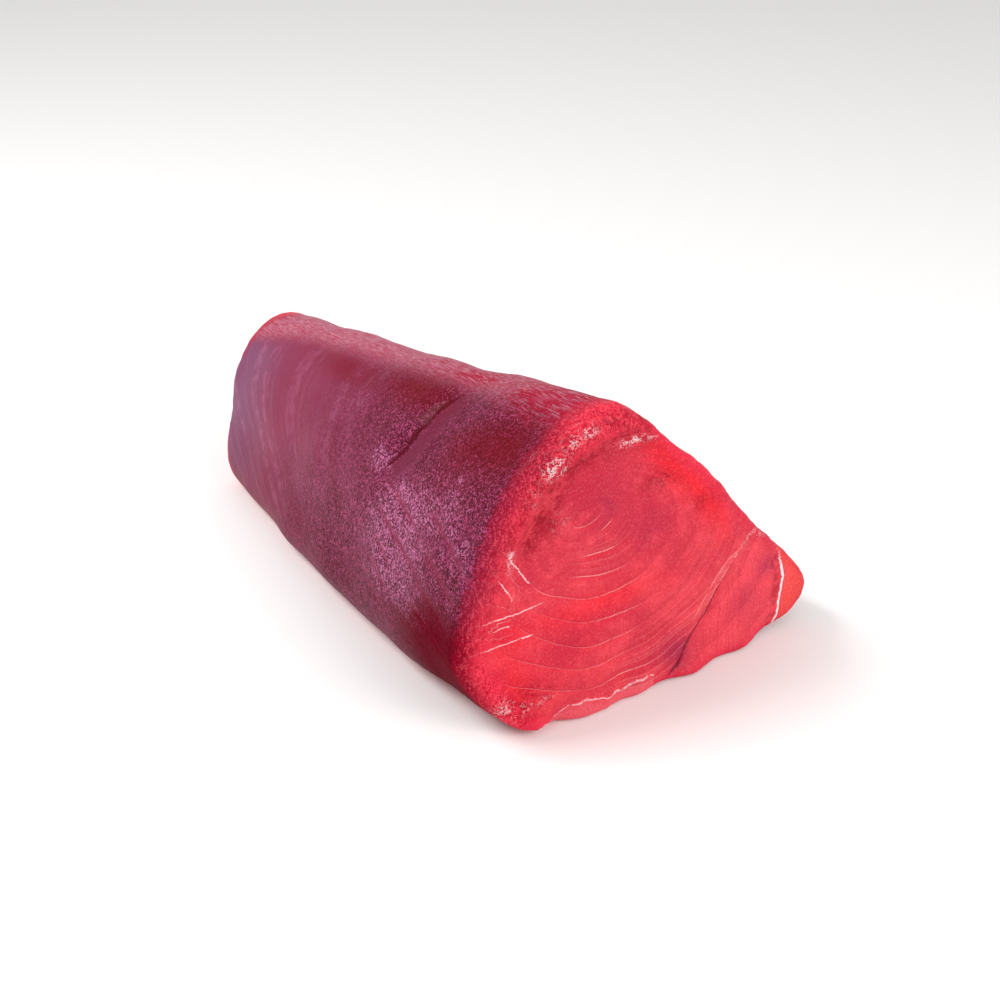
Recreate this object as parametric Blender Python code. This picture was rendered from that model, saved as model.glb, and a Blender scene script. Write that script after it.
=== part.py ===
"""Raw tuna loin portion: one thick block of fish, cut square across at both ends.

A standalone Blender 4.5 script: blender --background --python part.py
Units are metres with +Z up, and the sizes below are written in millimetres. The block lies along Y.
Its showing cut face looks towards -Y, its tall skinned wall towards -X, and its thin belly edge
towards +X. The origin is the middle of its footprint, on the board that it rests on.
"""

import bmesh
import bpy
import numpy as np

MM = 0.001

# Length, along Y
CUT_Y = -114.0
FAR_Y = 123.0

# The outline of a slice across the block, as (x, z) at the cut face and at the far end. The points
# go round from under the block, up the skinned wall, over the ridge and down to the belly edge.
OUTLINE = {
    "sole": ((1.5, 0.0), (-14.5, 0.0)),
    "heel_inside": ((-46.5, 0.0), (-52.5, 0.0)),
    "heel": ((-66.0, 4.0), (-65.5, 3.0)),
    "wall_low": ((-78.5, 20.0), (-69.0, 16.0)),
    "wall": ((-82.5, 46.0), (-65.0, 37.0)),
    "wall_high": ((-75.5, 74.0), (-61.5, 55.0)),
    "shoulder": ((-59.5, 100.0), (-52.5, 70.5)),
    "ridge_near_wall": ((-39.5, 115.5), (-41.0, 79.0)),
    "ridge": ((-19.5, 121.0), (-29.5, 79.0)),
    "ridge_off_wall": ((-5.0, 112.2), (-17.5, 71.0)),
    "slope_high": ((21.6, 89.8), (3.5, 54.0)),
    "slope_low": ((49.0, 57.5), (25.5, 35.0)),
    "belly_top": ((72.5, 32.5), (42.5, 21.0)),
    "belly_edge": ((82.6, 17.5), (49.5, 12.0)),
    "belly_under": ((76.5, 6.5), (44.5, 3.5)),
    "sole_belly": ((50.5, 0.5), (25.5, 0.0)),
}

# A pair such as HEEL_TUCK_Z holds where a form starts, with none of it, and where all of it is there

# How the long sides turn over into the end faces. The wall's rim is wide, but less so at the heel
RIM_WALL = 8.5
RIM_BELLY = 2.5
RIM_FAR = 7.0
RIM_WALL_SIDE = (22.0, 50.0)
RIM_WALL_TILT = 0.22
RIM_HEEL_SHARE = 0.35
RIM_HEEL_Z = (0.0, 30.0)

# How the block departs from a straight run between its two outlines
HEEL_TUCK = 9.5
HEEL_TUCK_REACH = 38.0
HEEL_TUCK_Z = (42.0, 8.0)
HEEL_TUCK_X = (-20.0, -66.0)
TOE_LEAN_X = (-80.0, -64.0, -50.0, -38.0, -22.0, -12.0, 20.0, 50.0, 70.0)
TOE_LEAN = (3.0, 6.5, 2.2, 3.8, 6.6, 4.0, 5.6, 3.2, 0.0)
TOE_LEAN_HEIGHT = 42.0
TOE_LEAN_POWER = 2.2
TOE_LEAN_REACH = 20.0
FOOT_SPREAD = 5.0
FOOT_SPREAD_Z = (45.0, 0.0)
FOOT_SPREAD_X = (-30.0, -60.0)
RIDGE_HUMP = 3.2
RIDGE_HUMP_Y = -79.0
RIDGE_HUMP_REACH = 35.0
RIDGE_HUMP_Z = (70.0, 115.0)
LOBES = {"apex_lobe": (-7.0, -106.5, 2.2, 9.0), "apex_notch": (9.0, -109.5, -1.8, 8.0)}
LOBES_Z = (60.0, 90.0)

# The crease from the ridge down the wall. Girth is the way round the block, from under its middle
CREASE_Y = -43.5
CREASE_DEPTH = 2.6
CREASE_HALF_WIDTH = 7.0
CREASE_SHOULDER = 14.0
CREASE_FOOT_GIRTH = (150.0, 168.0)
CREASE_TOP_GIRTH = (228.0, 208.0)
CREASE_BEND = 7.0
CREASE_BEND_GIRTH = (185.0, 158.0)

# The cut face: a sunk dish inside the rim, and the slit where two muscles part
CUT_EDGE_SIZE = (0.72, 1.0)
CUT_RELIEF_GAP = (0.0, 0.12)
DISH_DEPTH = 2.6
DISH_CENTRE = (-27.0, 95.0)
DISH_RADIUS = 25.0
DISH_HALF_WIDTH = 16.0
DISH_X = (40.0, -20.0)
SLIT = ((46.5, 48.5), (41.3, 39.4), (31.4, 29.5), (24.4, 15.3), (17.0, 6.2), (7.6, 1.6))
SLIT_DEPTH = 2.0
SLIT_HALF_WIDTH = 3.6
SLIT_RUN = (0.1, 0.7)
FLAP_STEP = 1.2
FLAP_NEAR = (-1.0, 3.0)
FLAP_FAR = (45.0, 5.0)

# Slow swells of soft flesh: (height, wavelength along Y, wavelength round the block, phase)
SWELLS = ((0.25, 83.0, 229.5, 3.54), (0.3, 53.0, -153.0, 5.24), (0.2, 37.0, 91.8, 0.86))
SWELLS_Z = (0.5, 8.0)
SWELLS_FROM_CUT = (2.0, 16.0)
SWELLS_FROM_FAR = (0.0, 10.0)

# The lower edge of the cut face waves a little
HEM_WAVE = 1.1
HEM_WAVELENGTH = 27.0
HEM_Z = (14.0, 2.0)
HEM_FROM_CUT = (9.0, 0.0)

# Mesh density
AROUND = 84
SPAN_STEPS = 24
CAP_RINGS = 14
RIM_RINGS = 3
SIDE_RINGS = 42
FAR_CAP_RINGS = 5
NARROWEST_RING = 0.08

FLESH_COLOUR = (0.62, 0.045, 0.075, 1.0)
FLESH_ROUGHNESS = 0.32


def smooth_step(value, low, high):
    """0 below low, 1 above high, and an S-shaped ramp between them."""
    t = np.clip((value - low) / (high - low), 0.0, 1.0)
    return t * t * (3.0 - 2.0 * t)


def bump(value, half_width):
    """A bell of height 1 at zero."""
    return np.exp(-((value / half_width) ** 2))


def closed_curve(points):
    """A smooth closed curve through the points, as a Catmull-Rom spline."""
    before, here = np.roll(points, 1, axis=0)[:, None], points[:, None]
    after, beyond = np.roll(points, -1, axis=0)[:, None], np.roll(points, -2, axis=0)[:, None]
    t = (np.arange(SPAN_STEPS) / SPAN_STEPS)[None, :, None]
    curve = 0.5 * (
        2.0 * here
        + (after - before) * t
        + (2.0 * before - 5.0 * here + 4.0 * after - beyond) * t**2
        + (3.0 * here - before - 3.0 * after + beyond) * t**3
    )
    return curve.reshape(-1, 2)


def end_outlines():
    """The cut outline and the far outline at matching points, and each point's girth from the sole."""
    cut, far = (closed_curve(np.array([pair[end] for pair in OUTLINE.values()])) for end in (0, 1))
    steps = np.linalg.norm(np.roll(cut, -1, axis=0) - cut, axis=1)
    girth = np.concatenate([[0.0], np.cumsum(steps)])
    wanted = np.arange(AROUND) / AROUND * girth[-1]
    place = np.interp(wanted, girth, np.arange(len(girth)))
    first = place.astype(int)
    share = (place - first)[:, None]
    second = (first + 1) % len(cut)
    return (
        cut[first] * (1.0 - share) + cut[second] * share,
        far[first] * (1.0 - share) + far[second] * share,
        wanted,
    )


def side_rings(cut):
    """Y and the inward step of every point of the rings from the cut rim to the far rim."""
    wall_share = smooth_step(-cut[:, 0] + RIM_WALL_TILT * cut[:, 1], *RIM_WALL_SIDE)
    wall_share *= RIM_HEEL_SHARE + (1.0 - RIM_HEEL_SHARE) * smooth_step(cut[:, 1], *RIM_HEEL_Z)
    rim = RIM_BELLY + (RIM_WALL - RIM_BELLY) * wall_share
    turn = np.linspace(np.pi / 2.0, 0.0, RIM_RINGS + 1)[:, None]
    along = np.linspace(0.0, 1.0, SIDE_RINGS + 2)[1:-1, None]
    y = np.concatenate(
        [
            CUT_Y + rim * (1.0 - np.sin(turn)),
            (CUT_Y + rim) * (1.0 - along) + (FAR_Y - RIM_FAR) * along,
            np.broadcast_to(FAR_Y - RIM_FAR * (1.0 - np.sin(turn[::-1])), (RIM_RINGS + 1, AROUND)),
        ]
    )
    inward = np.concatenate(
        [
            rim * (1.0 - np.cos(turn)),
            np.zeros((SIDE_RINGS, AROUND)),
            np.broadcast_to(RIM_FAR * (1.0 - np.cos(turn[::-1])), (RIM_RINGS + 1, AROUND)),
        ]
    )
    return y, inward


def side_surface(cut, far):
    """The points of the long sides and both rims, ring by ring, before any relief."""
    y, inward = side_rings(cut)
    share = ((y - CUT_Y) / (FAR_Y - CUT_Y))[..., None]
    slices = cut * (1.0 - share) + far * share
    x, z = slices[..., 0], slices[..., 1]
    from_cut = y - CUT_Y
    at_heel = smooth_step(z, *HEEL_TUCK_Z) * smooth_step(x, *HEEL_TUCK_X)
    tuck = HEEL_TUCK * np.exp(-from_cut / HEEL_TUCK_REACH) * at_heel
    hump = RIDGE_HUMP * bump(y - RIDGE_HUMP_Y, RIDGE_HUMP_REACH) * smooth_step(z, *RIDGE_HUMP_Z)
    lean = toe_lean(x, z) * np.exp(-from_cut / TOE_LEAN_REACH)
    foot = smooth_step(z, *FOOT_SPREAD_Z) * smooth_step(x, *FOOT_SPREAD_X)
    spread = FOOT_SPREAD * foot * np.sin(np.pi * share[..., 0])
    for lobe_x, lobe_y, height, reach in LOBES.values():
        hump += height * bump(np.hypot(x - lobe_x, y - lobe_y), reach) * smooth_step(z, *LOBES_Z)
    slices = np.stack([x + tuck - spread, z + hump], axis=-1)
    to_middle = slices.mean(axis=1, keepdims=True) - slices
    to_middle /= np.linalg.norm(to_middle, axis=-1, keepdims=True)
    slices += to_middle * inward[..., None]
    return np.stack([slices[..., 0], y - lean, np.maximum(slices[..., 1], 0.0)], axis=-1)


def toe_lean(x, z):
    """How far the foot of the cut face leans out towards the front."""
    lowness = np.clip(1.0 - z / TOE_LEAN_HEIGHT, 0.0, 1.0) ** TOE_LEAN_POWER
    return np.interp(x, TOE_LEAN_X, TOE_LEAN) * lowness


def cap_rings(rim_ring, count):
    """Rings that shrink from a rim ring to its middle, and the size of each against the rim."""
    middle = rim_ring.mean(axis=0)
    sizes = np.linspace(1.0, NARROWEST_RING, count + 1)[1:, None]
    sizes = np.concatenate([sizes, [[0.0]]])
    return middle + (rim_ring - middle) * sizes[..., None], sizes


def cut_face(rim_ring):
    """The rings of the cut face, with its lean and relief; the last is its middle, repeated."""
    rings, sizes = cap_rings(rim_ring, CAP_RINGS)
    x, z = rings[..., 0], rings[..., 2]
    plane = CUT_Y - toe_lean(x, z)
    rim_offset = rim_ring[:, 1] - CUT_Y + toe_lean(rim_ring[:, 0], rim_ring[:, 2])
    fade = smooth_step(sizes, *CUT_EDGE_SIZE)
    rings[..., 1] = plane + rim_offset * fade - cut_face_relief(x, z, 1.0 - sizes)
    return rings


def distance_to_line(x, z, line):
    """Distance from each (x, z) to a run of straight pieces, and the share of the run passed there."""
    nearest, passed = np.full(x.shape, np.inf), np.zeros(x.shape)
    points = np.array(line)
    spans = len(points) - 1
    for number in range(spans):
        start, run = points[number], points[number + 1] - points[number]
        t = np.clip(((x - start[0]) * run[0] + (z - start[1]) * run[1]) / (run @ run), 0.0, 1.0)
        gap = np.hypot(x - start[0] - t * run[0], z - start[1] - t * run[1])
        passed = np.where(gap < nearest, (number + t) / spans, passed)
        nearest = np.minimum(nearest, gap)
    return nearest, passed


def cut_face_relief(x, z, rim_gap):
    """How far each point of the cut face stands proud of its plane; rim_gap is 0 at the rim."""
    from_rings = np.hypot(x - DISH_CENTRE[0], z - DISH_CENTRE[1])
    dish = -DISH_DEPTH * bump(from_rings - DISH_RADIUS, DISH_HALF_WIDTH) * smooth_step(x, *DISH_X)
    gap, passed = distance_to_line(x, z, SLIT)
    slit = -SLIT_DEPTH * bump(gap, SLIT_HALF_WIDTH) * smooth_step(passed, *SLIT_RUN)
    past_slit = x - np.interp(z, [p[1] for p in SLIT[::-1]], [p[0] for p in SLIT[::-1]])
    flap = -FLAP_STEP * smooth_step(past_slit, *FLAP_NEAR) * smooth_step(past_slit, *FLAP_FAR)
    return (dish + slit + flap) * smooth_step(rim_gap, *CUT_RELIEF_GAP)


def side_relief(y, girth, z):
    """How far each point of the long sides stands proud of the plain form."""
    swell = sum(
        height * np.sin(2.0 * np.pi * (y / along + girth / around) + phase)
        for height, along, around, phase in SWELLS
    )
    on_wall_top = smooth_step(girth, *CREASE_FOOT_GIRTH) * smooth_step(girth, *CREASE_TOP_GIRTH)
    from_crease = y - CREASE_Y - CREASE_BEND * smooth_step(girth, *CREASE_BEND_GIRTH)
    near_side = bump(from_crease, CREASE_SHOULDER) * (from_crease < 0.0)
    far_side = bump(from_crease, CREASE_HALF_WIDTH) * (from_crease >= 0.0)
    crease = -CREASE_DEPTH * (near_side + far_side) * on_wall_top
    return (swell + crease) * smooth_step(z, *SWELLS_Z)


def outward(points):
    """Unit vectors pointing out of a stack of rings."""
    round_it = np.roll(points, -1, axis=1) - np.roll(points, 1, axis=1)
    along_it = np.gradient(points, axis=0)
    normals = np.cross(round_it, along_it)
    return normals / np.maximum(np.linalg.norm(normals, axis=-1, keepdims=True), 1e-9)


def loin_rings():
    """Every ring of the finished surface from the cut face to the far end, and the two middles."""
    cut, far, girth = end_outlines()
    sides = side_surface(cut, far)
    y, z = sides[..., 1], sides[..., 2]
    off_rims = smooth_step(y - CUT_Y, *SWELLS_FROM_CUT) * smooth_step(FAR_Y - y, *SWELLS_FROM_FAR)
    sides = sides + outward(sides) * (side_relief(y, girth, z) * off_rims)[..., None]
    hem = smooth_step(z, *HEM_Z) * smooth_step(y - CUT_Y, *HEM_FROM_CUT)
    sides[..., 1] += HEM_WAVE * hem * np.sin(2.0 * np.pi * sides[..., 0] / HEM_WAVELENGTH)
    sides[..., 2] = np.maximum(sides[..., 2], 0.0)

    front = cut_face(sides[0])
    back = cap_rings(sides[-1], FAR_CAP_RINGS)[0]
    return np.concatenate([front[-2::-1], sides, back[:-1]]), front[-1, 0], back[-1, 0]


def build_loin():
    """The block as one closed mesh: rings joined by quads, and a fan of triangles at each middle."""
    rings, front_middle, back_middle = loin_rings()
    mesh = bmesh.new()
    loops = [[mesh.verts.new(point * MM) for point in ring] for ring in rings]
    front, back = mesh.verts.new(front_middle * MM), mesh.verts.new(back_middle * MM)
    for place in range(AROUND):
        after = (place + 1) % AROUND
        mesh.faces.new((front, loops[0][place], loops[0][after]))
        mesh.faces.new((back, loops[-1][after], loops[-1][place]))
        for near, beyond in zip(loops, loops[1:]):
            mesh.faces.new((near[place], beyond[place], beyond[after], near[after]))
    bmesh.ops.recalc_face_normals(mesh, faces=mesh.faces)
    data = bpy.data.meshes.new("tuna_loin")
    mesh.to_mesh(data)
    mesh.free()
    data.shade_smooth()
    return data


def flesh_material():
    """Wet raw tuna: deep red with a soft gloss."""
    material = bpy.data.materials.new("raw_tuna")
    material.use_nodes = True
    surface = material.node_tree.nodes["Principled BSDF"]
    surface.inputs["Base Color"].default_value = FLESH_COLOUR
    surface.inputs["Roughness"].default_value = FLESH_ROUGHNESS
    surface.inputs["Metallic"].default_value = 0.0
    return material


def main():
    """Clears the scene and adds the loin."""
    for old in list(bpy.data.objects):
        bpy.data.objects.remove(old)
    loin = bpy.data.objects.new("tuna_loin", build_loin())
    loin.data.materials.append(flesh_material())
    bpy.context.scene.collection.objects.link(loin)


main()
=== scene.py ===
"""Looks of the raw tuna loin portion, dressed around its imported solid.

The block is one surface, worked out with numpy as rings along the loin. Its plain form repeats the
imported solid's. On top of that lie the fine relief of cut flesh and membrane, and fields such as the
ring number of the muscle layers, which the material reads as attributes. Sizes are in millimetres
unless a name or a comment says otherwise; the mesh is written in metres.
"""

from __future__ import annotations

import logging
import math
from dataclasses import dataclass, field
from enum import Enum, IntEnum

import bpy
import numpy as np
from mathutils import Matrix, Vector

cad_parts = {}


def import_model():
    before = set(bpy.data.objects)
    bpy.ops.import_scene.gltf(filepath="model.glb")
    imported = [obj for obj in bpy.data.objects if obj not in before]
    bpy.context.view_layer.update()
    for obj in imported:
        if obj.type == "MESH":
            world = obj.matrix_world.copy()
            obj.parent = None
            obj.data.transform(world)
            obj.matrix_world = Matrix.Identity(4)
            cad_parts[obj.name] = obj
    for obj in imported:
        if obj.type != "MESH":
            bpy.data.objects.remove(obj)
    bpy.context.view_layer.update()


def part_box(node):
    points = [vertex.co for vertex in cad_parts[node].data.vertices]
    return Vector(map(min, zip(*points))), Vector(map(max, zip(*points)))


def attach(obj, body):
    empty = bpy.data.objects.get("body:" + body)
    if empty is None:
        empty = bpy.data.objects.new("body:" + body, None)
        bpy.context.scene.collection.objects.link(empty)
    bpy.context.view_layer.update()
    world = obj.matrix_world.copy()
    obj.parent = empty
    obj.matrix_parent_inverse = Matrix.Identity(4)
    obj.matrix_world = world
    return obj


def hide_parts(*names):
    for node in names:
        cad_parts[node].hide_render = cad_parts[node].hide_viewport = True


LOG = logging.getLogger("tuna_loin")
MM = 0.001
Line = tuple[tuple[float, float], ...]
Spots = tuple[tuple[float, float, float, float, float], ...]
# What lattice noise mixes a corner's whole-number place and its seed with
PRIMES = (73856093, 19349663, 83492791)
MIXER = 1274126177
SEED_STEP = 40503


class Seed(IntEnum):
    """The seed of each pattern of lattice noise."""

    GROOVE_WANDER = 31
    GROOVE_BREAKS = 33
    CHEVRONS = 37
    TORN_FLESH = 41
    LUMPS = 43
    FINE_LUMPS = 47
    RIM = 53
    FINE_RIM = 59
    STRIP = 61
    GLINTS = 63
    CUT_FACE = 67
    HEM = 71


def linear(hex_colour: str) -> tuple[float, float, float, float]:
    """Turns an sRGB hex colour into the linear values that shaders take.

    Args:
        hex_colour: Six hex digits.

    Returns:
        Red, green, blue and an alpha of 1, where each channel below 0.04045 is divided by 12.92 and
        the others are ((c + 0.055) / 1.055) to the power 2.4.
    """
    channels = (int(hex_colour[place : place + 2], 16) / 255.0 for place in (0, 2, 4))
    red, green, blue = (c / 12.92 if c <= 0.04045 else ((c + 0.055) / 1.055) ** 2.4 for c in channels)
    return red, green, blue, 1.0


def smooth_step(value: np.ndarray, low: float, high: float) -> np.ndarray:
    """Eases from 0 at low to 1 at high.

    Args:
        value: Any array.
        low: Where the ramp starts.
        high: Where it ends; less than low for a falling ramp.

    Returns:
        t squared times (3 - 2t), where t is the clipped share of the way from low to high.
    """
    t = np.clip((value - low) / (high - low), 0.0, 1.0)
    return t * t * (3.0 - 2.0 * t)


def bell(value: np.ndarray, half_width: float) -> np.ndarray:
    """A bell of height 1 at zero: e to the power of minus (value / half_width) squared."""
    return np.exp(-((value / half_width) ** 2))


def spots(x: np.ndarray, z: np.ndarray, rows: Spots) -> np.ndarray:
    """A sum of soft oval spots.

    Args:
        x: First coordinate.
        z: Second coordinate.
        rows: Each spot's strength, its middle, and its half widths along the two coordinates.

    Returns:
        For each spot its strength times e to the power of minus the squared distance from its middle,
        measured in half widths, all added.
    """
    return sum(
        strength * np.exp(-(((x - mid_x) / wide) ** 2) - ((z - mid_z) / high) ** 2)
        for strength, mid_x, mid_z, wide, high in rows
    )


def lattice_noise(points: np.ndarray, cell: float, seed: int) -> np.ndarray:
    """Smooth noise: random values at the corners of cubes, eased across each cube.

    Args:
        points: Places, with x, y and z on the last axis.
        cell: Side of a cube.
        seed: Picks the pattern.

    Returns:
        Values from -1 to 1, the eased mean of the eight corner values round each place. A corner's
        value comes from its whole-number place, multiplied by large primes and mixed bit by bit.
    """
    scaled = points / cell + 19.7 * seed
    corner = np.floor(scaled).astype(np.int64)
    share = scaled - corner
    share = share * share * (3.0 - 2.0 * share)
    total = np.zeros(points.shape[:-1])
    for step in np.ndindex(2, 2, 2):
        place = corner + np.array(step)
        key = (place[..., 0] * PRIMES[0]) ^ (place[..., 1] * PRIMES[1]) ^ (place[..., 2] * PRIMES[2])
        key = ((key ^ (key >> 13)) * MIXER + seed * SEED_STEP) & 0x7FFFFFFF
        key = (key ^ (key >> 15)) % 65536
        weight = np.where(np.array(step), share, 1.0 - share).prod(axis=-1)
        total += weight * (key / 32767.5 - 1.0)
    return total


def rough_noise(points: np.ndarray, cell: float, seed: int, octaves: int = 3) -> np.ndarray:
    """Layers of lattice noise, each half as coarse and half as strong as the one before it."""
    layers = (lattice_noise(points, cell / 2.0**level, seed + level) / 2.0**level for level in range(octaves))
    return sum(layers) / (2.0 - 2.0 ** (1 - octaves))


def line_gap(x: np.ndarray, z: np.ndarray, line: Line) -> tuple[np.ndarray, np.ndarray]:
    """Signed distance to a line of straight pieces.

    Args:
        x: First coordinate.
        z: Second coordinate.
        line: The line's corners, in order.

    Returns:
        The distance to the nearest piece, positive on the left of the line's run, and the share of
        the line that has been passed there.
    """
    nearest = np.full(x.shape, np.inf)
    signed, passed = np.zeros(x.shape), np.zeros(x.shape)
    corners = np.array(line)
    spans = len(corners) - 1
    for number in range(spans):
        start, run = corners[number], corners[number + 1] - corners[number]
        from_x, from_z = x - start[0], z - start[1]
        t = np.clip((from_x * run[0] + from_z * run[1]) / (run @ run), 0.0, 1.0)
        gap = np.hypot(from_x - t * run[0], from_z - t * run[1])
        side = np.where(run[0] * from_z - run[1] * from_x >= 0.0, 1.0, -1.0)
        closer = gap < nearest
        signed = np.where(closer, gap * side, signed)
        passed = np.where(closer, (number + t) / spans, passed)
        nearest = np.where(closer, gap, nearest)
    return signed, passed


def nearest_line(x: np.ndarray, z: np.ndarray, lines: tuple[Line, ...]) -> tuple[np.ndarray, np.ndarray]:
    """Signed distance to the nearest of several lines.

    Args:
        x: First coordinate.
        z: Second coordinate.
        lines: The lines.

    Returns:
        The distance to the nearest line, signed as for one line, and the share of it that has been
        passed there.
    """
    signed, passed = line_gap(x, z, lines[0])
    for line in lines[1:]:
        gap, share = line_gap(x, z, line)
        closer = np.abs(gap) < np.abs(signed)
        signed, passed = np.where(closer, gap, signed), np.where(closer, share, passed)
    return signed, passed


@dataclass
class LoinForm:
    """The plain form of the block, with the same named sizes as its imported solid."""

    cut_y: float = -114.0
    far_y: float = 123.0
    outline: dict[str, tuple[tuple[float, float], tuple[float, float]]] = field(
        default_factory=lambda: {
            "sole": ((1.5, 0.0), (-14.5, 0.0)),
            "heel_inside": ((-46.5, 0.0), (-52.5, 0.0)),
            "heel": ((-66.0, 4.0), (-65.5, 3.0)),
            "wall_low": ((-78.5, 20.0), (-69.0, 16.0)),
            "wall": ((-82.5, 46.0), (-65.0, 37.0)),
            "wall_high": ((-75.5, 74.0), (-61.5, 55.0)),
            "shoulder": ((-59.5, 100.0), (-52.5, 70.5)),
            "ridge_near_wall": ((-39.5, 115.5), (-41.0, 79.0)),
            "ridge": ((-19.5, 121.0), (-29.5, 79.0)),
            "ridge_off_wall": ((-5.0, 112.2), (-17.5, 71.0)),
            "slope_high": ((21.6, 89.8), (3.5, 54.0)),
            "slope_low": ((49.0, 57.5), (25.5, 35.0)),
            "belly_top": ((72.5, 32.5), (42.5, 21.0)),
            "belly_edge": ((82.6, 17.5), (49.5, 12.0)),
            "belly_under": ((76.5, 6.5), (44.5, 3.5)),
            "sole_belly": ((50.5, 0.5), (25.5, 0.0)),
        }
    )
    rim_wall: float = 8.5
    rim_belly: float = 2.5
    rim_far: float = 7.0
    heel_tuck: float = 9.5
    heel_tuck_reach: float = 38.0
    heel_tuck_height: float = 42.0
    toe_lean_x: tuple[float, ...] = (-80.0, -64.0, -50.0, -38.0, -22.0, -12.0, 20.0, 50.0, 70.0)
    toe_lean: tuple[float, ...] = (3.0, 6.5, 2.2, 3.8, 6.6, 4.0, 5.6, 3.2, 0.0)
    toe_lean_height: float = 42.0
    toe_lean_reach: float = 20.0
    foot_spread: float = 5.0
    foot_spread_height: float = 45.0
    ridge_hump: float = 3.2
    ridge_hump_y: float = -79.0
    ridge_hump_reach: float = 35.0
    # Each lobe's place (x, y), height and reach
    lobes: tuple[tuple[float, float, float, float], ...] = (
        (-7.0, -106.5, 2.2, 9.0),
        (9.0, -109.5, -1.8, 8.0),
    )
    around: int = 400
    span_steps: int = 24
    cap_rings: int = 58
    rim_rings: int = 10
    side_rings: int = 138
    far_rings: int = 24
    narrowest: float = 0.03
    crowding: float = 1.12

    def closed_curve(self, points: np.ndarray) -> np.ndarray:
        """Draws a smooth closed curve through points.

        Args:
            points: Corners with two coordinates.

        Returns:
            A Catmull-Rom spline: on each span a cubic through both ends, with slopes that are half
            the step between the neighbours.
        """
        before, here = np.roll(points, 1, axis=0)[:, None], points[:, None]
        after, beyond = np.roll(points, -1, axis=0)[:, None], np.roll(points, -2, axis=0)[:, None]
        t = (np.arange(self.span_steps) / self.span_steps)[None, :, None]
        square = 2.0 * before - 5.0 * here + 4.0 * after - beyond
        cube = 3.0 * here - before - 3.0 * after + beyond
        curve = 0.5 * (2.0 * here + (after - before) * t + square * t**2 + cube * t**3)
        return curve.reshape(-1, 2)

    def end_outlines(self) -> tuple[np.ndarray, np.ndarray, np.ndarray]:
        """Draws both end outlines at matching points.

        Returns:
            The outline of the cut face, with its points evenly spaced, the far outline's points that
            match them, and the girth of each: how far round the cut face it lies.
        """
        corners = np.array(list(self.outline.values()))
        cut, far = self.closed_curve(corners[:, 0]), self.closed_curve(corners[:, 1])
        steps = np.linalg.norm(np.roll(cut, -1, axis=0) - cut, axis=1)
        girth = np.concatenate([[0.0], np.cumsum(steps)])
        wanted = np.arange(self.around) / self.around * girth[-1]
        place = np.interp(wanted, girth, np.arange(len(girth)))
        first = place.astype(int)
        share = (place - first)[:, None]
        second = (first + 1) % len(cut)
        return (
            cut[first] * (1.0 - share) + cut[second] * share,
            far[first] * (1.0 - share) + far[second] * share,
            wanted,
        )

    def side_rings_plan(self, cut: np.ndarray) -> tuple[np.ndarray, np.ndarray]:
        """Plans where the rings of the sides lie.

        Args:
            cut: The outline of the cut face.

        Returns:
            Y and the inward step of each ring point: quarter circles at both rims, straight between.
        """
        wall_share = smooth_step(-cut[:, 0] + 0.22 * cut[:, 1], 22.0, 50.0)
        wall_share = wall_share * (0.35 + 0.65 * smooth_step(cut[:, 1], 0.0, 30.0))
        rim = self.rim_belly + (self.rim_wall - self.rim_belly) * wall_share
        turn = np.linspace(np.pi / 2.0, 0.0, self.rim_rings + 1)[:, None]
        # Rings lie closer together near the cut face, where the photo shows the most detail
        along = (np.linspace(0.0, 1.0, self.side_rings + 2)[1:-1, None]) ** self.crowding
        far_rim = np.full((1, self.around), self.rim_far)
        y = np.concatenate(
            [
                self.cut_y + rim * (1.0 - np.sin(turn)),
                (self.cut_y + rim) * (1.0 - along) + (self.far_y - self.rim_far) * along,
                self.far_y - far_rim * (1.0 - np.sin(turn[::-1])),
            ]
        )
        inward = np.concatenate(
            [
                rim * (1.0 - np.cos(turn)),
                np.zeros((self.side_rings, self.around)),
                far_rim * (1.0 - np.cos(turn[::-1])),
            ]
        )
        return y, inward

    def lean(self, x: np.ndarray, z: np.ndarray) -> np.ndarray:
        """How far the foot of the cut face leans out: most at the board, none above its height."""
        lowness = np.clip(1.0 - z / self.toe_lean_height, 0.0, 1.0) ** 2.2
        return np.interp(x, self.toe_lean_x, self.toe_lean) * lowness

    def sides(self, cut: np.ndarray, far: np.ndarray) -> np.ndarray:
        """The rings of the long sides and both rims.

        Args:
            cut: The outline at the cut face.
            far: The outline at the far end.

        Returns:
            Points in rings: a straight run from one outline to the other, plus the heel's tuck, the
            foot's spread, the ridge's hump and lobes, the lean of the foot, and the rims' rounding
            towards the middle of each slice.
        """
        y, inward = self.side_rings_plan(cut)
        share = ((y - self.cut_y) / (self.far_y - self.cut_y))[..., None]
        slices = cut * (1.0 - share) + far * share
        x, z = slices[..., 0], slices[..., 1]
        from_cut = y - self.cut_y
        at_heel = smooth_step(z, self.heel_tuck_height, 8.0) * smooth_step(x, -20.0, -66.0)
        tuck = self.heel_tuck * np.exp(-from_cut / self.heel_tuck_reach) * at_heel
        hump = self.ridge_hump * bell(y - self.ridge_hump_y, self.ridge_hump_reach)
        hump = hump * smooth_step(z, 70.0, 115.0)
        lean = self.lean(x, z) * np.exp(-from_cut / self.toe_lean_reach)
        foot = smooth_step(z, self.foot_spread_height, 0.0) * smooth_step(x, -30.0, -60.0)
        spread = self.foot_spread * foot * np.sin(np.pi * share[..., 0])
        for lobe_x, lobe_y, height, reach in self.lobes:
            hump += height * bell(np.hypot(x - lobe_x, y - lobe_y), reach) * smooth_step(z, 60.0, 90.0)
        slices = np.stack([x + tuck - spread, z + hump], axis=-1)
        to_middle = slices.mean(axis=1, keepdims=True) - slices
        to_middle /= np.linalg.norm(to_middle, axis=-1, keepdims=True)
        slices += to_middle * inward[..., None]
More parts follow.
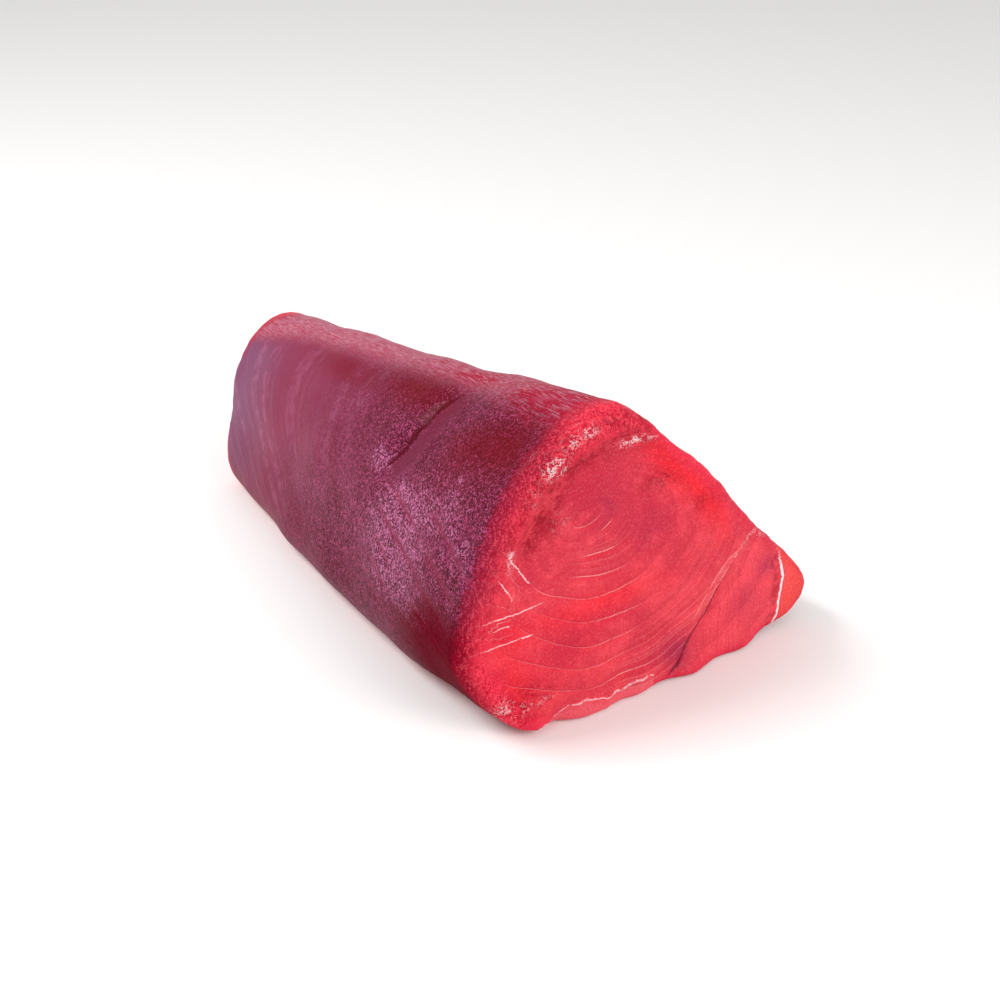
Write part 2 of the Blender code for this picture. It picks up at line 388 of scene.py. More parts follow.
        return np.stack([slices[..., 0], y - lean, np.maximum(slices[..., 1], 0.0)], axis=-1)

    def cap(self, rim_ring: np.ndarray, count: int) -> tuple[np.ndarray, np.ndarray]:
        """Rings that shrink in even steps from a rim ring to its middle.

        Args:
            rim_ring: The ring that the cap closes.
            count: How many rings.

        Returns:
            The rings, the last of them all at the middle, and each ring's size against the rim.
        """
        middle = rim_ring.mean(axis=0)
        sizes = np.linspace(1.0, self.narrowest, count + 1)[1:, None]
        sizes = np.concatenate([sizes, [[0.0]]])
        return middle + (rim_ring - middle) * sizes[..., None], sizes


@dataclass
class CutFace:
    """The sunk dish, the parted muscles and the tissue lines of the face that was cut across."""

    form: LoinForm
    dish_depth: float = 2.6
    dish_centre: tuple[float, float] = (-27.0, 95.0)
    dish_radius: float = 25.0
    dish_half_width: float = 16.0
    slit: Line = ((46.5, 48.5), (41.3, 39.4), (31.4, 29.5), (24.4, 15.3), (17.0, 6.2), (7.6, 1.6))
    slit_depth: float = 2.0
    slit_half_width: float = 3.6
    flap_step: float = 1.2
    seam: Line = (
        (54.0, 60.0),
        (47.5, 51.5),
        (41.5, 42.0),
        (36.0, 31.8),
        (29.4, 20.8),
        (20.3, 13.0),
        (13.6, 5.8),
        (7.0, 2.0),
    )
    tendon: Line = ((66.0, 33.0), (68.3, 25.8), (67.7, 18.8), (66.4, 10.4), (65.4, 1.0))
    # The inner edge of the rim, where the knife left a torn lip; its white is painted highlight
    lip: Line = (
        (-8.0, 114.0),
        (-25.7, 116.0),
        (-35.7, 112.6),
        (-41.9, 109.1),
        (-47.0, 104.0),
        (-54.0, 91.0),
        (-61.4, 78.0),
        (-67.8, 60.5),
        (-71.5, 44.7),
        (-70.3, 32.0),
        (-64.0, 16.6),
    )
    # Straight scratches of the knife, and shreds of tissue below the lip
    scratches: tuple[Line, ...] = (
        ((-70.7, 43.9), (-60.8, 43.7), (-51.0, 43.2)),
        ((-70.1, 55.2), (-61.5, 54.8), (-53.8, 54.6), (-46.5, 54.8)),
        ((-66.6, 50.9), (-61.0, 50.6)),
        ((-61.0, 77.0), (-57.2, 71.6), (-53.6, 65.5), (-52.3, 64.4)),
        ((-65.0, 69.0), (-61.5, 63.0), (-60.0, 59.5)),
    )
    # The two pale lines along the upper seam
    seam_lines: tuple[Line, ...] = (
        ((55.5, 58.5), (50.2, 51.0), (43.7, 45.6), (37.5, 38.2), (32.8, 28.3), (28.7, 21.0), (22.9, 15.0)),
        ((50.0, 53.0), (43.5, 46.6), (36.7, 42.0), (32.5, 36.8), (29.9, 32.0), (24.0, 24.0)),
    )
    hem: Line = (
        (-52.0, 3.0),
        (-45.2, 6.6),
        (-37.8, 7.5),
        (-29.9, 7.8),
        (-20.9, 5.4),
        (-9.0, 6.6),
        (2.0, 6.0),
    )
    # Along the upper edge the flesh is scarlet, and along the crescent it is torn and crimson
    upper_edge: Line = ((-14.0, 110.0), (-2.0, 103.0), (20.0, 81.0), (42.0, 53.0))
    crescent: Line = ((-8.0, 109.0), (-24.0, 110.0), (-38.0, 105.0), (-47.0, 95.0), (-52.0, 80.0))

    # Soft spots of colour, of torn flesh and of painted glints: strength, place (x, z) and half widths
    rosy_spots: Spots = (
        (0.85, -26.0, 88.0, 21.0, 18.0),
        (0.45, 2.0, 66.0, 13.0, 12.0),
        (0.45, -52.0, 66.0, 10.0, 16.0),
        (0.35, 12.0, 18.0, 14.0, 8.0),
        (0.45, -22.0, 33.0, 34.0, 7.0),
        (0.4, 52.0, 24.0, 9.0, 10.0),
    )
    scarlet_spots: Spots = (
        (0.4, -62.0, 40.0, 8.0, 26.0),
        (0.5, -25.0, 46.0, 30.0, 5.0),
        (0.5, -60.0, 20.0, 10.0, 9.0),
    )
    crimson_spots: Spots = (
        (0.9, -43.0, 88.0, 3.5, 8.0),
        (0.85, 4.0, 88.0, 9.0, 3.5),
        (0.6, 24.0, 74.0, 9.0, 4.0),
        (0.8, -56.0, 16.0, 11.0, 6.0),
    )
    # Darker mauve: an arc round the whorl's right side, and spots beside the slit, near the tendon and right
    # of the whorl
    dark_mauve_middle: tuple[float, float] = (-27.0, 92.0)
    dark_mauve_spots: Spots = (
        (0.95, 13.5, 12.0, 8.5, 6.0),
        (0.8, 60.0, 33.0, 5.0, 5.0),
        (0.4, 49.0, 20.0, 5.0, 7.0),
        (0.3, 0.0, 70.0, 9.0, 8.0),
    )
    glint_spots: Spots = (
        (0.5, -64.0, 14.0, 6.5, 9.0),
        (0.8, -9.0, 107.5, 9.0, 2.5),
        (0.9, -44.0, 107.0, 5.5, 4.5),
        (0.65, -29.5, 116.5, 5.0, 2.5),
        (0.5, -36.0, 113.5, 4.0, 3.0),
        (0.5, -61.0, 78.0, 3.0, 6.0),
        (0.35, -50.0, 14.0, 14.0, 2.5),
        (0.35, -52.0, 98.0, 4.0, 6.0),
        (0.25, -60.0, 60.0, 5.0, 12.0),
        (0.3, -40.0, 84.0, 6.0, 9.0),
        (0.6, 54.0, 50.0, 3.0, 4.0),
        (0.25, 2.0, 86.0, 6.0, 5.0),
    )
    fan_spots: Spots = ((0.8, -22.0, 66.0, 13.0, 9.0),)

    # The muscle rings: ovals whose middle moves as they grow, so they crowd towards the seam
    ring_middle: tuple[float, float] = (-29.3, 85.8)
    ring_drift: tuple[float, float] = (1.519, -3.003)
    ring_step: float = 5.608
    ring_aspect: float = 1.348
    ring_turn: float = -0.066
    ring_power: float = 0.872
    ring_start: float = 0.647
    # Each line of tissue that shows: its number and places on it, by which the ovals are corrected
    ring_lines: tuple[tuple[float, Line], ...] = (
        (0.0, ((-34.9, 81.4), (-28.0, 79.6), (-22.6, 83.1))),
        (1.0, ((-22.9, 74.9), (-16.4, 78.4))),
        (2.0, ((-30.8, 66.3), (-22.0, 65.6), (-14.0, 66.4))),
        (3.0, ((-35.6, 61.1), (-22.7, 57.1), (-9.9, 57.0))),
        (4.0, ((-53.1, 64.7), (-46.0, 57.5), (-33.9, 51.1), (-23.2, 48.7), (-11.4, 50.0), (-0.9, 54.7))),
        (5.0, ((-57.5, 62.6), (-40.6, 45.7), (-27.7, 39.5), (-13.9, 37.3), (0.0, 38.4))),
        (6.0, ((-63.9, 58.9), (-53.5, 44.7), (-43.1, 35.8), (-27.6, 28.5), (-13.7, 28.6), (0.0, 30.3))),
        (7.0, ((-66.4, 42.6), (-49.5, 29.6), (-27.8, 19.7), (-4.7, 19.4))),
        (8.0, ((-70.3, 32.0), (-58.1, 22.6), (-37.7, 13.9), (-9.9, 12.2), (14.7, 16.9))),
    )
    ring_line_half_width: float = 3.2
    ring_reach: float = 15.0
    ring_slack: float = 0.12

    def relief(self, x: np.ndarray, z: np.ndarray, rim_gap: np.ndarray) -> np.ndarray:
        """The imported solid's own relief on its cut face.

        Args:
            x: Place across the face.
            z: Height on the face.
            rim_gap: How far in from the rim, as a share of the way to the middle.

        Returns:
            How far the face stands proud of its plane: a bell round a circle for the dish, a bell
            across a line for the slit and a step past it for the flap, faded out at the rim.
        """
        from_rings = np.hypot(x - self.dish_centre[0], z - self.dish_centre[1])
        dish = -self.dish_depth * bell(from_rings - self.dish_radius, self.dish_half_width)
        dish = dish * smooth_step(x, 40.0, -20.0)
        gap, passed = line_gap(x, z, self.slit)
        slit = -self.slit_depth * bell(gap, self.slit_half_width) * smooth_step(passed, 0.1, 0.7)
        line = np.array(self.slit[::-1])
        past = x - np.interp(z, line[:, 1], line[:, 0])
        flap = -self.flap_step * smooth_step(past, -1.0, 3.0) * smooth_step(past, 45.0, 5.0)
        return (dish + slit + flap) * smooth_step(rim_gap, 0.0, 0.12)

    def rings(self, rim_ring: np.ndarray) -> np.ndarray:
        """The rings of the cut face.

        Args:
            rim_ring: The first ring of the sides.

        Returns:
            The leaning plane, faded into the rim, with its relief.
        """
        rings, sizes = self.form.cap(rim_ring, self.form.cap_rings)
        x, z = rings[..., 0], rings[..., 2]
        plane = self.form.cut_y - self.form.lean(x, z)
        rim_offset = rim_ring[:, 1] - self.form.cut_y + self.form.lean(rim_ring[:, 0], rim_ring[:, 2])
        fade = smooth_step(sizes, 0.72, 1.0)
        rings[..., 1] = plane + rim_offset * fade - self.relief(x, z, 1.0 - sizes)
        return rings

    def oval_number(self, x: np.ndarray, z: np.ndarray) -> np.ndarray:
        """Numbers plain ovals from the whorl outwards.

        Args:
            x: Place across the face.
            z: Height on the face.

        Returns:
            A power of the k for which the place lies on the oval with its middle k drifts from
            ring_middle and a radius of k steps, less ring_start. That k is the positive root of
            k^2 (step^2 - drift^2) + 2 k (place . drift) - place^2 = 0.
        """
        turn = np.array([math.cos(self.ring_turn), math.sin(self.ring_turn)])
        side = np.array([-turn[1], turn[0]]) * self.ring_aspect
        from_middle = np.stack([x - self.ring_middle[0], z - self.ring_middle[1]], axis=-1)
        place = np.stack([from_middle @ turn, from_middle @ side], axis=-1)
        drift = np.array(self.ring_drift)
        dot, square = place @ drift, (place**2).sum(axis=-1)
        spare = self.ring_step**2 - drift @ drift
        return ((-dot + np.sqrt(dot**2 + spare * square)) / spare) ** self.ring_power - self.ring_start

    def ring_number(self, x: np.ndarray, z: np.ndarray) -> np.ndarray:
        """Numbers the muscle rings, so that the lines that show have whole numbers.

        Args:
            x: Place across the face.
            z: Height on the face.

        Returns:
            The number of the plain oval plus a sum of bells, one round each place on the lines, with
            heights solved so that the sum gives there what the plain number lacks.
        """
        places = np.array([(*place, number) for number, line in self.ring_lines for place in line])
        gaps = np.hypot(*(places[:, None, axis] - places[None, :, axis] for axis in (0, 1)))
        lacking = places[:, 2] - self.oval_number(places[:, 0], places[:, 1])
        slack = self.ring_slack * np.eye(len(places))
        heights = np.linalg.solve(bell(gaps, self.ring_reach) + slack, lacking)
        number = self.oval_number(x, z)
        for (place_x, place_z, _), height in zip(places, heights):
            number = number + height * bell(np.hypot(x - place_x, z - place_z), self.ring_reach)
        return number


@dataclass
class LongSides:
    """The crease, the grooves and the soft swells of the sides that run along the block."""

    form: LoinForm
    crease_y: float = -43.5
    crease_depth: float = 2.6
    crease_half_width: float = 7.0
    crease_shoulder: float = 14.0
    crease_bend: float = 7.0
    swells: tuple[tuple[float, float, float, float], ...] = (
        (0.25, 83.0, 229.5, 3.54),
        (0.3, 53.0, -153.0, 5.24),
        (0.2, 37.0, 91.8, 0.86),
    )
    hem_wave: float = 1.1
    hem_wavelength: float = 27.0
    # The sharp bottom of the crease, as (girth, y)
    crease_line: Line = (
        (208.0, -47.0),
        (200.0, -43.0),
        (192.0, -41.0),
        (182.0, -40.3),
        (169.0, -38.0),
        (160.0, -34.5),
        (151.0, -31.0),
    )
    groove_gap: float = 12.5
    # Muscle lines: arcs on the wall, folds along the ridge and bent chevrons on the slope
    arc_gap: float = 12.0
    arc_bend: float = 0.006
    arc_middle: float = 185.0
    fold_gap: float = 11.0
    chevron_gap: float = 10.5
    chevron_middle: float = 318.0
    chevron_bend: float = 16.0
    # Soft spots of colour and of painted sheen on the membrane: strength, place (girth, y) and half widths
    maroon_spots: Spots = (
        (0.9, 196.0, -26.0, 10.0, 20.0),
        (0.95, 188.0, -96.0, 13.0, 14.0),
        (0.5, 190.0, 26.0, 9.0, 30.0),
        (0.6, 180.0, -76.0, 13.0, 13.0),
    )
    raspberry_spots: Spots = ((0.9, 216.0, -42.0, 7.0, 22.0), (0.7, 212.0, -86.0, 9.0, 12.0))
    sheen_patch_spots: Spots = (
        (1.0, 150.0, -56.0, 10.0, 17.0),
        (0.9, 132.0, -56.0, 13.0, 26.0),
        (0.5, 160.0, -84.0, 14.0, 14.0),
        (1.2, 160.0, -28.0, 6.0, 6.0),
        (0.4, 148.0, -100.0, 14.0, 9.0),
        (0.9, 113.0, -66.0, 7.0, 26.0),
    )

    def relief(self, y: np.ndarray, girth: np.ndarray, z: np.ndarray) -> np.ndarray:
        """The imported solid's own relief on its sides.

        Args:
            y: Place along the block.
            girth: Place round the block.
            z: Height.

        Returns:
            How far the sides stand proud of the plain form: sine waves for the swells and a bell,
            wider on its near side, for the crease, faded out at the board.
        """
        swell = sum(
            height * np.sin(2.0 * np.pi * (y / along + girth / around) + phase)
            for height, along, around, phase in self.swells
        )
        on_wall_top = smooth_step(girth, 150.0, 168.0) * smooth_step(girth, 228.0, 208.0)
        from_crease = y - self.crease_y - self.crease_bend * smooth_step(girth, 185.0, 158.0)
        near_side = bell(from_crease, self.crease_shoulder) * (from_crease < 0.0)
        far_side = bell(from_crease, self.crease_half_width) * (from_crease >= 0.0)
        crease = -self.crease_depth * (near_side + far_side) * on_wall_top
        return (swell + crease) * smooth_step(z, 0.5, 8.0)

    def rings(self, cut: np.ndarray, far: np.ndarray, girth: np.ndarray) -> np.ndarray:
        """The rings of the sides.

        Args:
            cut: The outline of the cut face.
            far: The outline of the far end.
            girth: The girth of each point round a ring.

        Returns:
            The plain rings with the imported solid's relief and the waves of the lower hem.
        """
        rings = self.form.sides(cut, far)
        y, z = rings[..., 1], rings[..., 2]
        near, end = self.form.cut_y, self.form.far_y
        off_rims = smooth_step(y, near + 2.0, near + 16.0) * smooth_step(y, end, end - 10.0)
        rings = rings + outward(rings) * (self.relief(y, girth, z) * off_rims)[..., None]
        hem = smooth_step(z, 14.0, 2.0) * smooth_step(y, near + 9.0, near)
        rings[..., 1] += self.hem_wave * hem * np.sin(2.0 * np.pi * rings[..., 0] / self.hem_wavelength)
        rings[..., 2] = np.maximum(rings[..., 2], 0.0)
        return rings


def outward(rings: np.ndarray) -> np.ndarray:
    """Unit vectors out of a stack of rings.

    Args:
        rings: The rings, in order along the block.

    Returns:
        The cross product of the steps round and along the rings, divided by its length.
    """
    round_it = np.roll(rings, -1, axis=1) - np.roll(rings, 1, axis=1)
    along_it = np.gradient(rings, axis=0)
    normals = np.cross(round_it, along_it)
    return normals / np.maximum(np.linalg.norm(normals, axis=-1, keepdims=True), 1e-9)


Fields = dict[str, np.ndarray]
# What the material and the relief read at every point of the block, three fields to each attribute of
# the mesh. Distances are in millimetres and signed, with 60 where there is no such line; ring and
# stripe are numbers that grow by 1 from line to line; all the others are weights from 0 to 1.
BUNDLES = {
    "loin_place": ("edge", "skin_gap", "membrane"),
    "loin_rings": ("ring", "ring_seen", "fan"),
    "loin_seams": ("seam", "slit", "seam_line"),
    "loin_lines": ("tendon", "hem", "lip"),
    "loin_marks": ("scratch", "glint", "tip"),
    "loin_reds": ("rosy", "scarlet", "crimson"),
    "loin_darks": ("dark_mauve", "maroon", "valley_shade"),
    "loin_plums": ("lilac_sheen", "strip", "sheen_patch"),
    "loin_skin": ("foot", "speckle", "groove"),
    "loin_stripes": ("crease", "stripe", "stripe_seen"),
    "loin_tones": ("ring_dark", "salmon", "raspberry"),
}
NO_LINE = 60.0


@dataclass
class TunaLoin:
    """The block of fish: builds its surface, fields and relief, and dresses it."""

    name: str = "raw_tuna_loin"
    form: LoinForm = field(default_factory=LoinForm)
    # The far end shows the same muscle rings, smaller: its places are moved and grown to match
    far_shift: float = 8.0
    far_growth: tuple[float, float] = (1.43, 1.53)
    # The girths over which each side begins or ends, from where it doesn't show to where it fully does
    wall_starts: tuple[float, float] = (66.0, 78.0)
    ridge_ends: tuple[float, float] = (262.0, 244.0)
    slope_starts: tuple[float, float] = (236.0, 262.0)
    slope_ends: tuple[float, float] = (398.0, 380.0)
    sole_ends: tuple[float, float] = (70.0, 58.0)
    # Where the pink strip along the ridge ends, as (y, girth)
    strip_ends: Line = (
        (-114.0, 203.0),
        (-60.0, 204.5),
        (-45.0, 207.0),
        (-20.0, 204.0),
        (16.0, 203.0),
        (66.0, 198.0),
        (93.0, 190.0),
        (106.0, 184.0),
        (123.0, 176.0),
    )
    # How far past the rim the membrane starts, as (girth, distance)
    skin_starts: Line = (
        (40.0, 8.0),
        (68.0, 13.0),
        (77.0, 12.5),
        (85.0, 11.0),
        (95.0, 9.0),
        (115.0, 5.0),
        (149.0, 4.5),
        (166.0, 7.0),
        (185.0, 8.5),
        (195.0, 9.5),
        (205.0, 13.0),
        (217.0, 16.0),
        (235.0, 13.0),
        (300.0, 3.0),
    )

    def __post_init__(self) -> None:
        """Adds the cut face and the long sides, which share the form."""
        self.face = CutFace(self.form)
        self.flanks = LongSides(self.form)

    def surface(self) -> tuple[np.ndarray, np.ndarray]:
        """The smooth surface before its fine relief.

        Returns:
            The rings from the middle of the cut face to the middle of the far end, the first and the
            last of them a single point repeated, and the girth of each place round a ring.
        """
        cut, far, girth = self.form.end_outlines()
        sides = self.flanks.rings(cut, far, girth)
        front = self.face.rings(sides[0])
        back, _ = self.form.cap(sides[-1], self.form.far_rings)
        return np.concatenate([front[::-1], sides, back]), girth

    def fields(self, rings: np.ndarray, girth: np.ndarray) -> Fields:
        """Works out every field from the place on the block.

        Args:
            rings: The smooth surface.
            girth: The girth of each place round a ring.

        Returns:
            The fields: distances in millimetres, ring and stripe numbers, and weights from 0 to 1.
        """
        x, y, z = rings[..., 0], rings[..., 1], rings[..., 2]
        s = np.broadcast_to(girth, x.shape)
        steps = np.linalg.norm(np.diff(rings, axis=0), axis=-1)
        run = np.concatenate([np.zeros((1, x.shape[1])), np.cumsum(steps, axis=0)])
        from_cut = run - run[self.form.cap_rings + 1]
        from_far = run[-self.form.far_rings - 2] - run
        edge = np.minimum(from_cut, from_far)
        at_far = y > 0.0
        fx = np.where(at_far, (x + self.far_shift) * self.far_growth[0], x)
        fz = np.where(at_far, z * self.far_growth[1], z)
        on_face = self.face_fields(fx, fz, at_far)
        on_sides = self.side_fields(rings, s)
        skin_gap = edge - np.interp(s, *zip(*self.skin_starts))
        return {"edge": edge, "skin_gap": skin_gap, **on_face, **on_sides}

    def face_fields(self, x: np.ndarray, z: np.ndarray, at_far: np.ndarray) -> Fields:
        """The fields of the cut faces.

        The plain numbers are places and half widths in millimetres, or weights from 0 to 1.

        Args:
            x: Place across the face.
            z: Height on the face.
            at_far: Where the place is in the far half of the block.

        Returns:
            Each field by its name.
        """
        face = self.face
        angle = np.degrees(np.arctan2(z - face.dark_mauve_middle[1], x - face.dark_mauve_middle[0]))
        seam, seam_passed = line_gap(x, z, face.seam)
        seam_line, _ = nearest_line(x, z, face.seam_lines)
        hem, hem_passed = line_gap(x, z, face.hem)
        tendon, _ = line_gap(x, z, face.tendon)
        lip, _ = line_gap(x, z, face.lip)
        scratch, scratch_passed = nearest_line(x, z, face.scratches)
        scratch_ends = smooth_step(scratch_passed, 1.0, 0.9)
        upper_edge, _ = line_gap(x, z, face.upper_edge)
        crescent, _ = line_gap(x, z, face.crescent)
        whorl = face.ring_number(x, z)

        drawn, shown = nearest_line(x, z, tuple(line for _, line in face.ring_lines))
        ring_ends = smooth_step(shown, 0.0, 0.3) * smooth_step(shown, 1.0, 0.7)
        seen = bell(drawn, face.ring_line_half_width) * ring_ends
        leftward = smooth_step(x, -6.0, -34.0) * smooth_step(z, 62.0, 50.0)

        scarlet = bell(upper_edge, 6.0) * smooth_step(x, -14.0, 8.0) * smooth_step(x, 44.0, 26.0)
        crimson = bell(crescent, 5.5) + 0.7 * bell(lip + 3.0, 2.5) * smooth_step(z, 40.0, 60.0)
        dark_mauve = bell(whorl - 0.6, 0.35) * smooth_step(angle, -80.0, -30.0) * smooth_step(angle, 120.0, 60.0)
        slit_width = smooth_step(seam_passed, 0.25, 0.45) * (0.25 + 0.75 * bell(seam_passed - 0.76, 0.12))
        slit_width = slit_width * smooth_step(seam_passed, 1.0, 0.92)
        fan = smooth_step(seam, -34.0, -14.0) * smooth_step(seam, -0.4, -1.6) * smooth_step(z, 74.0, 46.0)
        fan = fan * (0.45 + 0.55 * smooth_step(z, 42.0, 24.0))

        front = ~at_far
        return {
            "ring": whorl,
            "ring_seen": seen * (1.0 - 0.75 * leftward),
            "ring_dark": seen * (0.25 + 0.75 * leftward),
            "fan": np.minimum(fan + spots(x, z, face.fan_spots), 1.0),
            "seam": seam,
            "slit": seam / np.maximum(slit_width, 0.05),
            "seam_line": seam_line,
            "tendon": tendon,
            "hem": np.where((hem_passed > 0.0) & (hem_passed < 1.0), hem, NO_LINE),
            "lip": np.where(front, lip, NO_LINE),
            "scratch": np.where(front, scratch / np.maximum(scratch_ends, 0.1), NO_LINE),
            "glint": np.where(front, np.minimum(spots(x, z, face.glint_spots), 1.0), 0.15),
            "tip": smooth_step(tendon, -2.5, 3.0) * smooth_step(x, 40.0, 60.0),
            "salmon": smooth_step(seam, 0.5, 5.0) * (1.0 - 0.7 * smooth_step(z, 46.0, 62.0)),
            "rosy": np.minimum(spots(x, z, face.rosy_spots), 1.0),
            "scarlet": np.minimum(scarlet + spots(x, z, face.scarlet_spots), 1.0),
            "crimson": np.minimum(crimson + spots(x, z, face.crimson_spots), 1.0),
            "dark_mauve": np.minimum(0.5 * dark_mauve + spots(x, z, face.dark_mauve_spots), 1.0),
        }

    def side_fields(self, rings: np.ndarray, s: np.ndarray) -> Fields:
        """The fields of the long sides.

        The plain numbers are girths, places and half widths in millimetres, or weights from 0 to 1.

        Args:
            rings: The smooth surface.
            s: The girth of each place.

        Returns:
            Each field by its name.
        """
        y, flanks = rings[..., 1], self.flanks
        strip_from = np.interp(y, *zip(*self.strip_ends))
        on_skin, past_ridge = smooth_step(s, *self.wall_starts), smooth_step(s, *self.ridge_ends)
        strip = smooth_step(s - strip_from, -8.0, 9.0) * past_ridge
        slope = smooth_step(s, *self.slope_starts) * smooth_step(s, *self.slope_ends)
        hidden = np.maximum(slope, smooth_step(s, *self.sole_ends))
        ridge_end = smooth_step(y, -56.0, -90.0) * smooth_step(s, 192.0, 206.0) * past_ridge
        # The foot of the wall near the cut face, which the material paints with shade and makes less glossy
        foot_top = 121.0 + 13.0 * smooth_step(y, -60.0, -96.0)
        foot = smooth_step(s - foot_top, 0.0, -19.0) * (0.12 + 0.88 * smooth_step(y, -50.0, -84.0))

        crease, crease_passed = line_gap(s, y, flanks.crease_line)
        crease_width = smooth_step(crease_passed, 0.0, 0.3) * smooth_step(crease_passed, 1.0, 0.7)
        # The smooth valley beside the crease, which the material paints with shade
        valley_shade = smooth_step(crease, 0.6, 2.6) * smooth_step(crease, 13.5, 8.0)
        valley_shade = valley_shade * smooth_step(crease_passed, 0.0, 0.25) * smooth_step(crease_passed, 1.0, 0.8)
        groove_number = (s - 0.36 * (y + 50.0) - 151.0) / flanks.groove_gap
        groove_shown = smooth_step(y, -112.0, -98.0) * smooth_step(y, -30.0, -52.0)
        groove_shown = groove_shown * smooth_step(s, 92.0, 106.0) * smooth_step(s, 166.0, 152.0)
        wander = 0.16 * rough_noise(rings, 16.0, Seed.GROOVE_WANDER)
        groove_off = np.abs((groove_number + wander + 0.5) % 1.0 - 0.5) * flanks.groove_gap
        broken = smooth_step(rough_noise(rings, 22.0, Seed.GROOVE_BREAKS), -0.5, 0.1)
        groove = bell(groove_off, 1.2) * groove_shown * broken
        speckle = smooth_step(y - 34.0 * smooth_step(s, 146.0, 112.0), 54.0, -42.0)
        speckle = speckle * on_skin * (1.0 - 0.75 * strip) * (1.0 - hidden)
        speckle = speckle * (1.0 - 0.85 * valley_shade) * (1.0 - 0.85 * groove)

        arcs = (y + flanks.arc_bend * (flanks.arc_middle - s) ** 2) / flanks.arc_gap
        folds = (0.85 * y + 1.5 * (s - 200.0)) / flanks.fold_gap
        from_middle = np.hypot(s - flanks.chevron_middle, flanks.chevron_bend)
        chevrons = (y + 0.8 * from_middle) / flanks.chevron_gap
        chevrons = chevrons + 0.5 * rough_noise(rings, 34.0, Seed.CHEVRONS)
        on_wall = smooth_step(y, -26.0, 28.0) * smooth_step(strip_from - s, 1.0, 8.0)
        on_wall = on_wall * smooth_step(s, 78.0, 100.0)
        on_strip = 0.8 * smooth_step(s - strip_from, 2.0, 7.0) * smooth_step(s, 249.0, 242.0)
        on_slope = smooth_step(s, 251.0, 258.0) * smooth_step(s, 384.0, 366.0)
        return {
            "membrane": on_skin * smooth_step(s, 250.0, 226.0),
            "maroon": np.minimum(spots(s, y, flanks.maroon_spots), 1.0),
            "lilac_sheen": smooth_step(y, 62.0, 112.0) * smooth_step(s, 76.0, 100.0) * smooth_step(s, 190.0, 168.0),
            "strip": strip,
            "sheen_patch": np.minimum(spots(s, y, flanks.sheen_patch_spots), 1.0),
            "foot": foot * (1.0 - hidden),
            "raspberry": np.minimum(spots(s, y, flanks.raspberry_spots) + ridge_end, 1.0),
            "speckle": speckle,
            "valley_shade": valley_shade,
            "crease": crease / np.maximum(crease_width, 0.1),
            "groove": groove,
            "stripe": np.where(s < strip_from, arcs, np.where(s < 250.0, folds, chevrons)),
            "stripe_seen": on_wall + on_strip + on_slope,
        }

    def relief(self, rings: np.ndarray, f: Fields) -> np.ndarray:
        """The fine relief of cut flesh and membrane.

        Each term is where it shows, times its height in millimetres, times a bell or a noise with its
        own size in millimetres.

        Args:
            rings: The smooth surface.
            f: Its fields.

        Returns:
            How far each point stands proud, in millimetres: lumps of lattice noise, soft bulges
            between the muscle lines, and bells across the slit, the tissue lines, the crease and the
            grooves. It fades to nothing on the flat underside.
        """
        z = rings[..., 2]
        cut = smooth_step(f["edge"], 0.5, -1.5)
        side = 1.0 - cut
        lumps = 0.34 * rough_noise(rings, 15.0, Seed.LUMPS) + 0.10 * rough_noise(rings, 3.4, Seed.FINE_LUMPS)
        height = side * lumps
        near_rim = bell(f["edge"] - 4.0, 6.5)
        torn_rim = 0.45 * rough_noise(rings, 9.0, Seed.RIM) + 0.30 * rough_noise(rings, 3.0, Seed.FINE_RIM)
        height += near_rim * torn_rim
        height += side * f["strip"] * 0.3 * rough_noise(rings * np.array([1.0, 0.45, 1.0]), 5.0, Seed.STRIP)
        height -= side * (0.6 * bell(f["crease"], 1.5) + 0.3 * f["groove"])
        height -= side * 0.10 * f["stripe_seen"] * bell(0.5 - np.abs(f["stripe"] % 1.0 - 0.5), 0.12)

        height += cut * f["ring_seen"] * 0.25 * (np.sin(np.pi * (f["ring"] % 1.0)) ** 0.6 - 0.7)
        height += cut * f["crimson"] * 0.6 * rough_noise(rings, 4.2, Seed.TORN_FLESH)
        height += cut * f["glint"] * 0.5 * rough_noise(rings, 3.4, Seed.GLINTS)
        height += cut * 0.10 * rough_noise(rings, 7.0, Seed.CUT_FACE)
        height -= cut * 0.6 * bell(f["slit"], 1.4)
        height += cut * 0.45 * bell(f["tendon"], 0.9) * smooth_step(f["seam"], 4.0, 9.0)
        height += cut * 0.35 * bell(f["lip"], 1.2)
        below_hem = smooth_step(f["hem"], 0.8, -0.8)
        height += below_hem * 0.5 * rough_noise(rings, 3.2, Seed.HEM) + 0.5 * bell(f["hem"], 1.0)
        return height * smooth_step(z, 0.3, 3.5)

    def build(self) -> bpy.types.Object:
        """Builds the mesh with its attributes and links it to the scene.

        Returns:
            The new object, placed at the origin.
        """
        smooth, girth = self.surface()
        f = self.fields(smooth, girth)
        rings = smooth + outward(smooth) * self.relief(smooth, f)[..., None]
        rings[..., 2] = np.maximum(rings[..., 2], 0.0)
        rings = self.fit(rings)
        mesh = ring_mesh(self.name, rings * MM)
        for title, names in BUNDLES.items():
            values = np.stack([one_per_vertex(f[name]) for name in names], axis=-1)
            layer = mesh.attributes.new(title, "FLOAT_VECTOR", "POINT")
            layer.data.foreach_set("vector", values.astype(np.float32).ravel())
        piece = bpy.data.objects.new(self.name, mesh)
        bpy.context.scene.collection.objects.link(piece)
        piece.data.materials.append(RawTuna().material())
        return piece

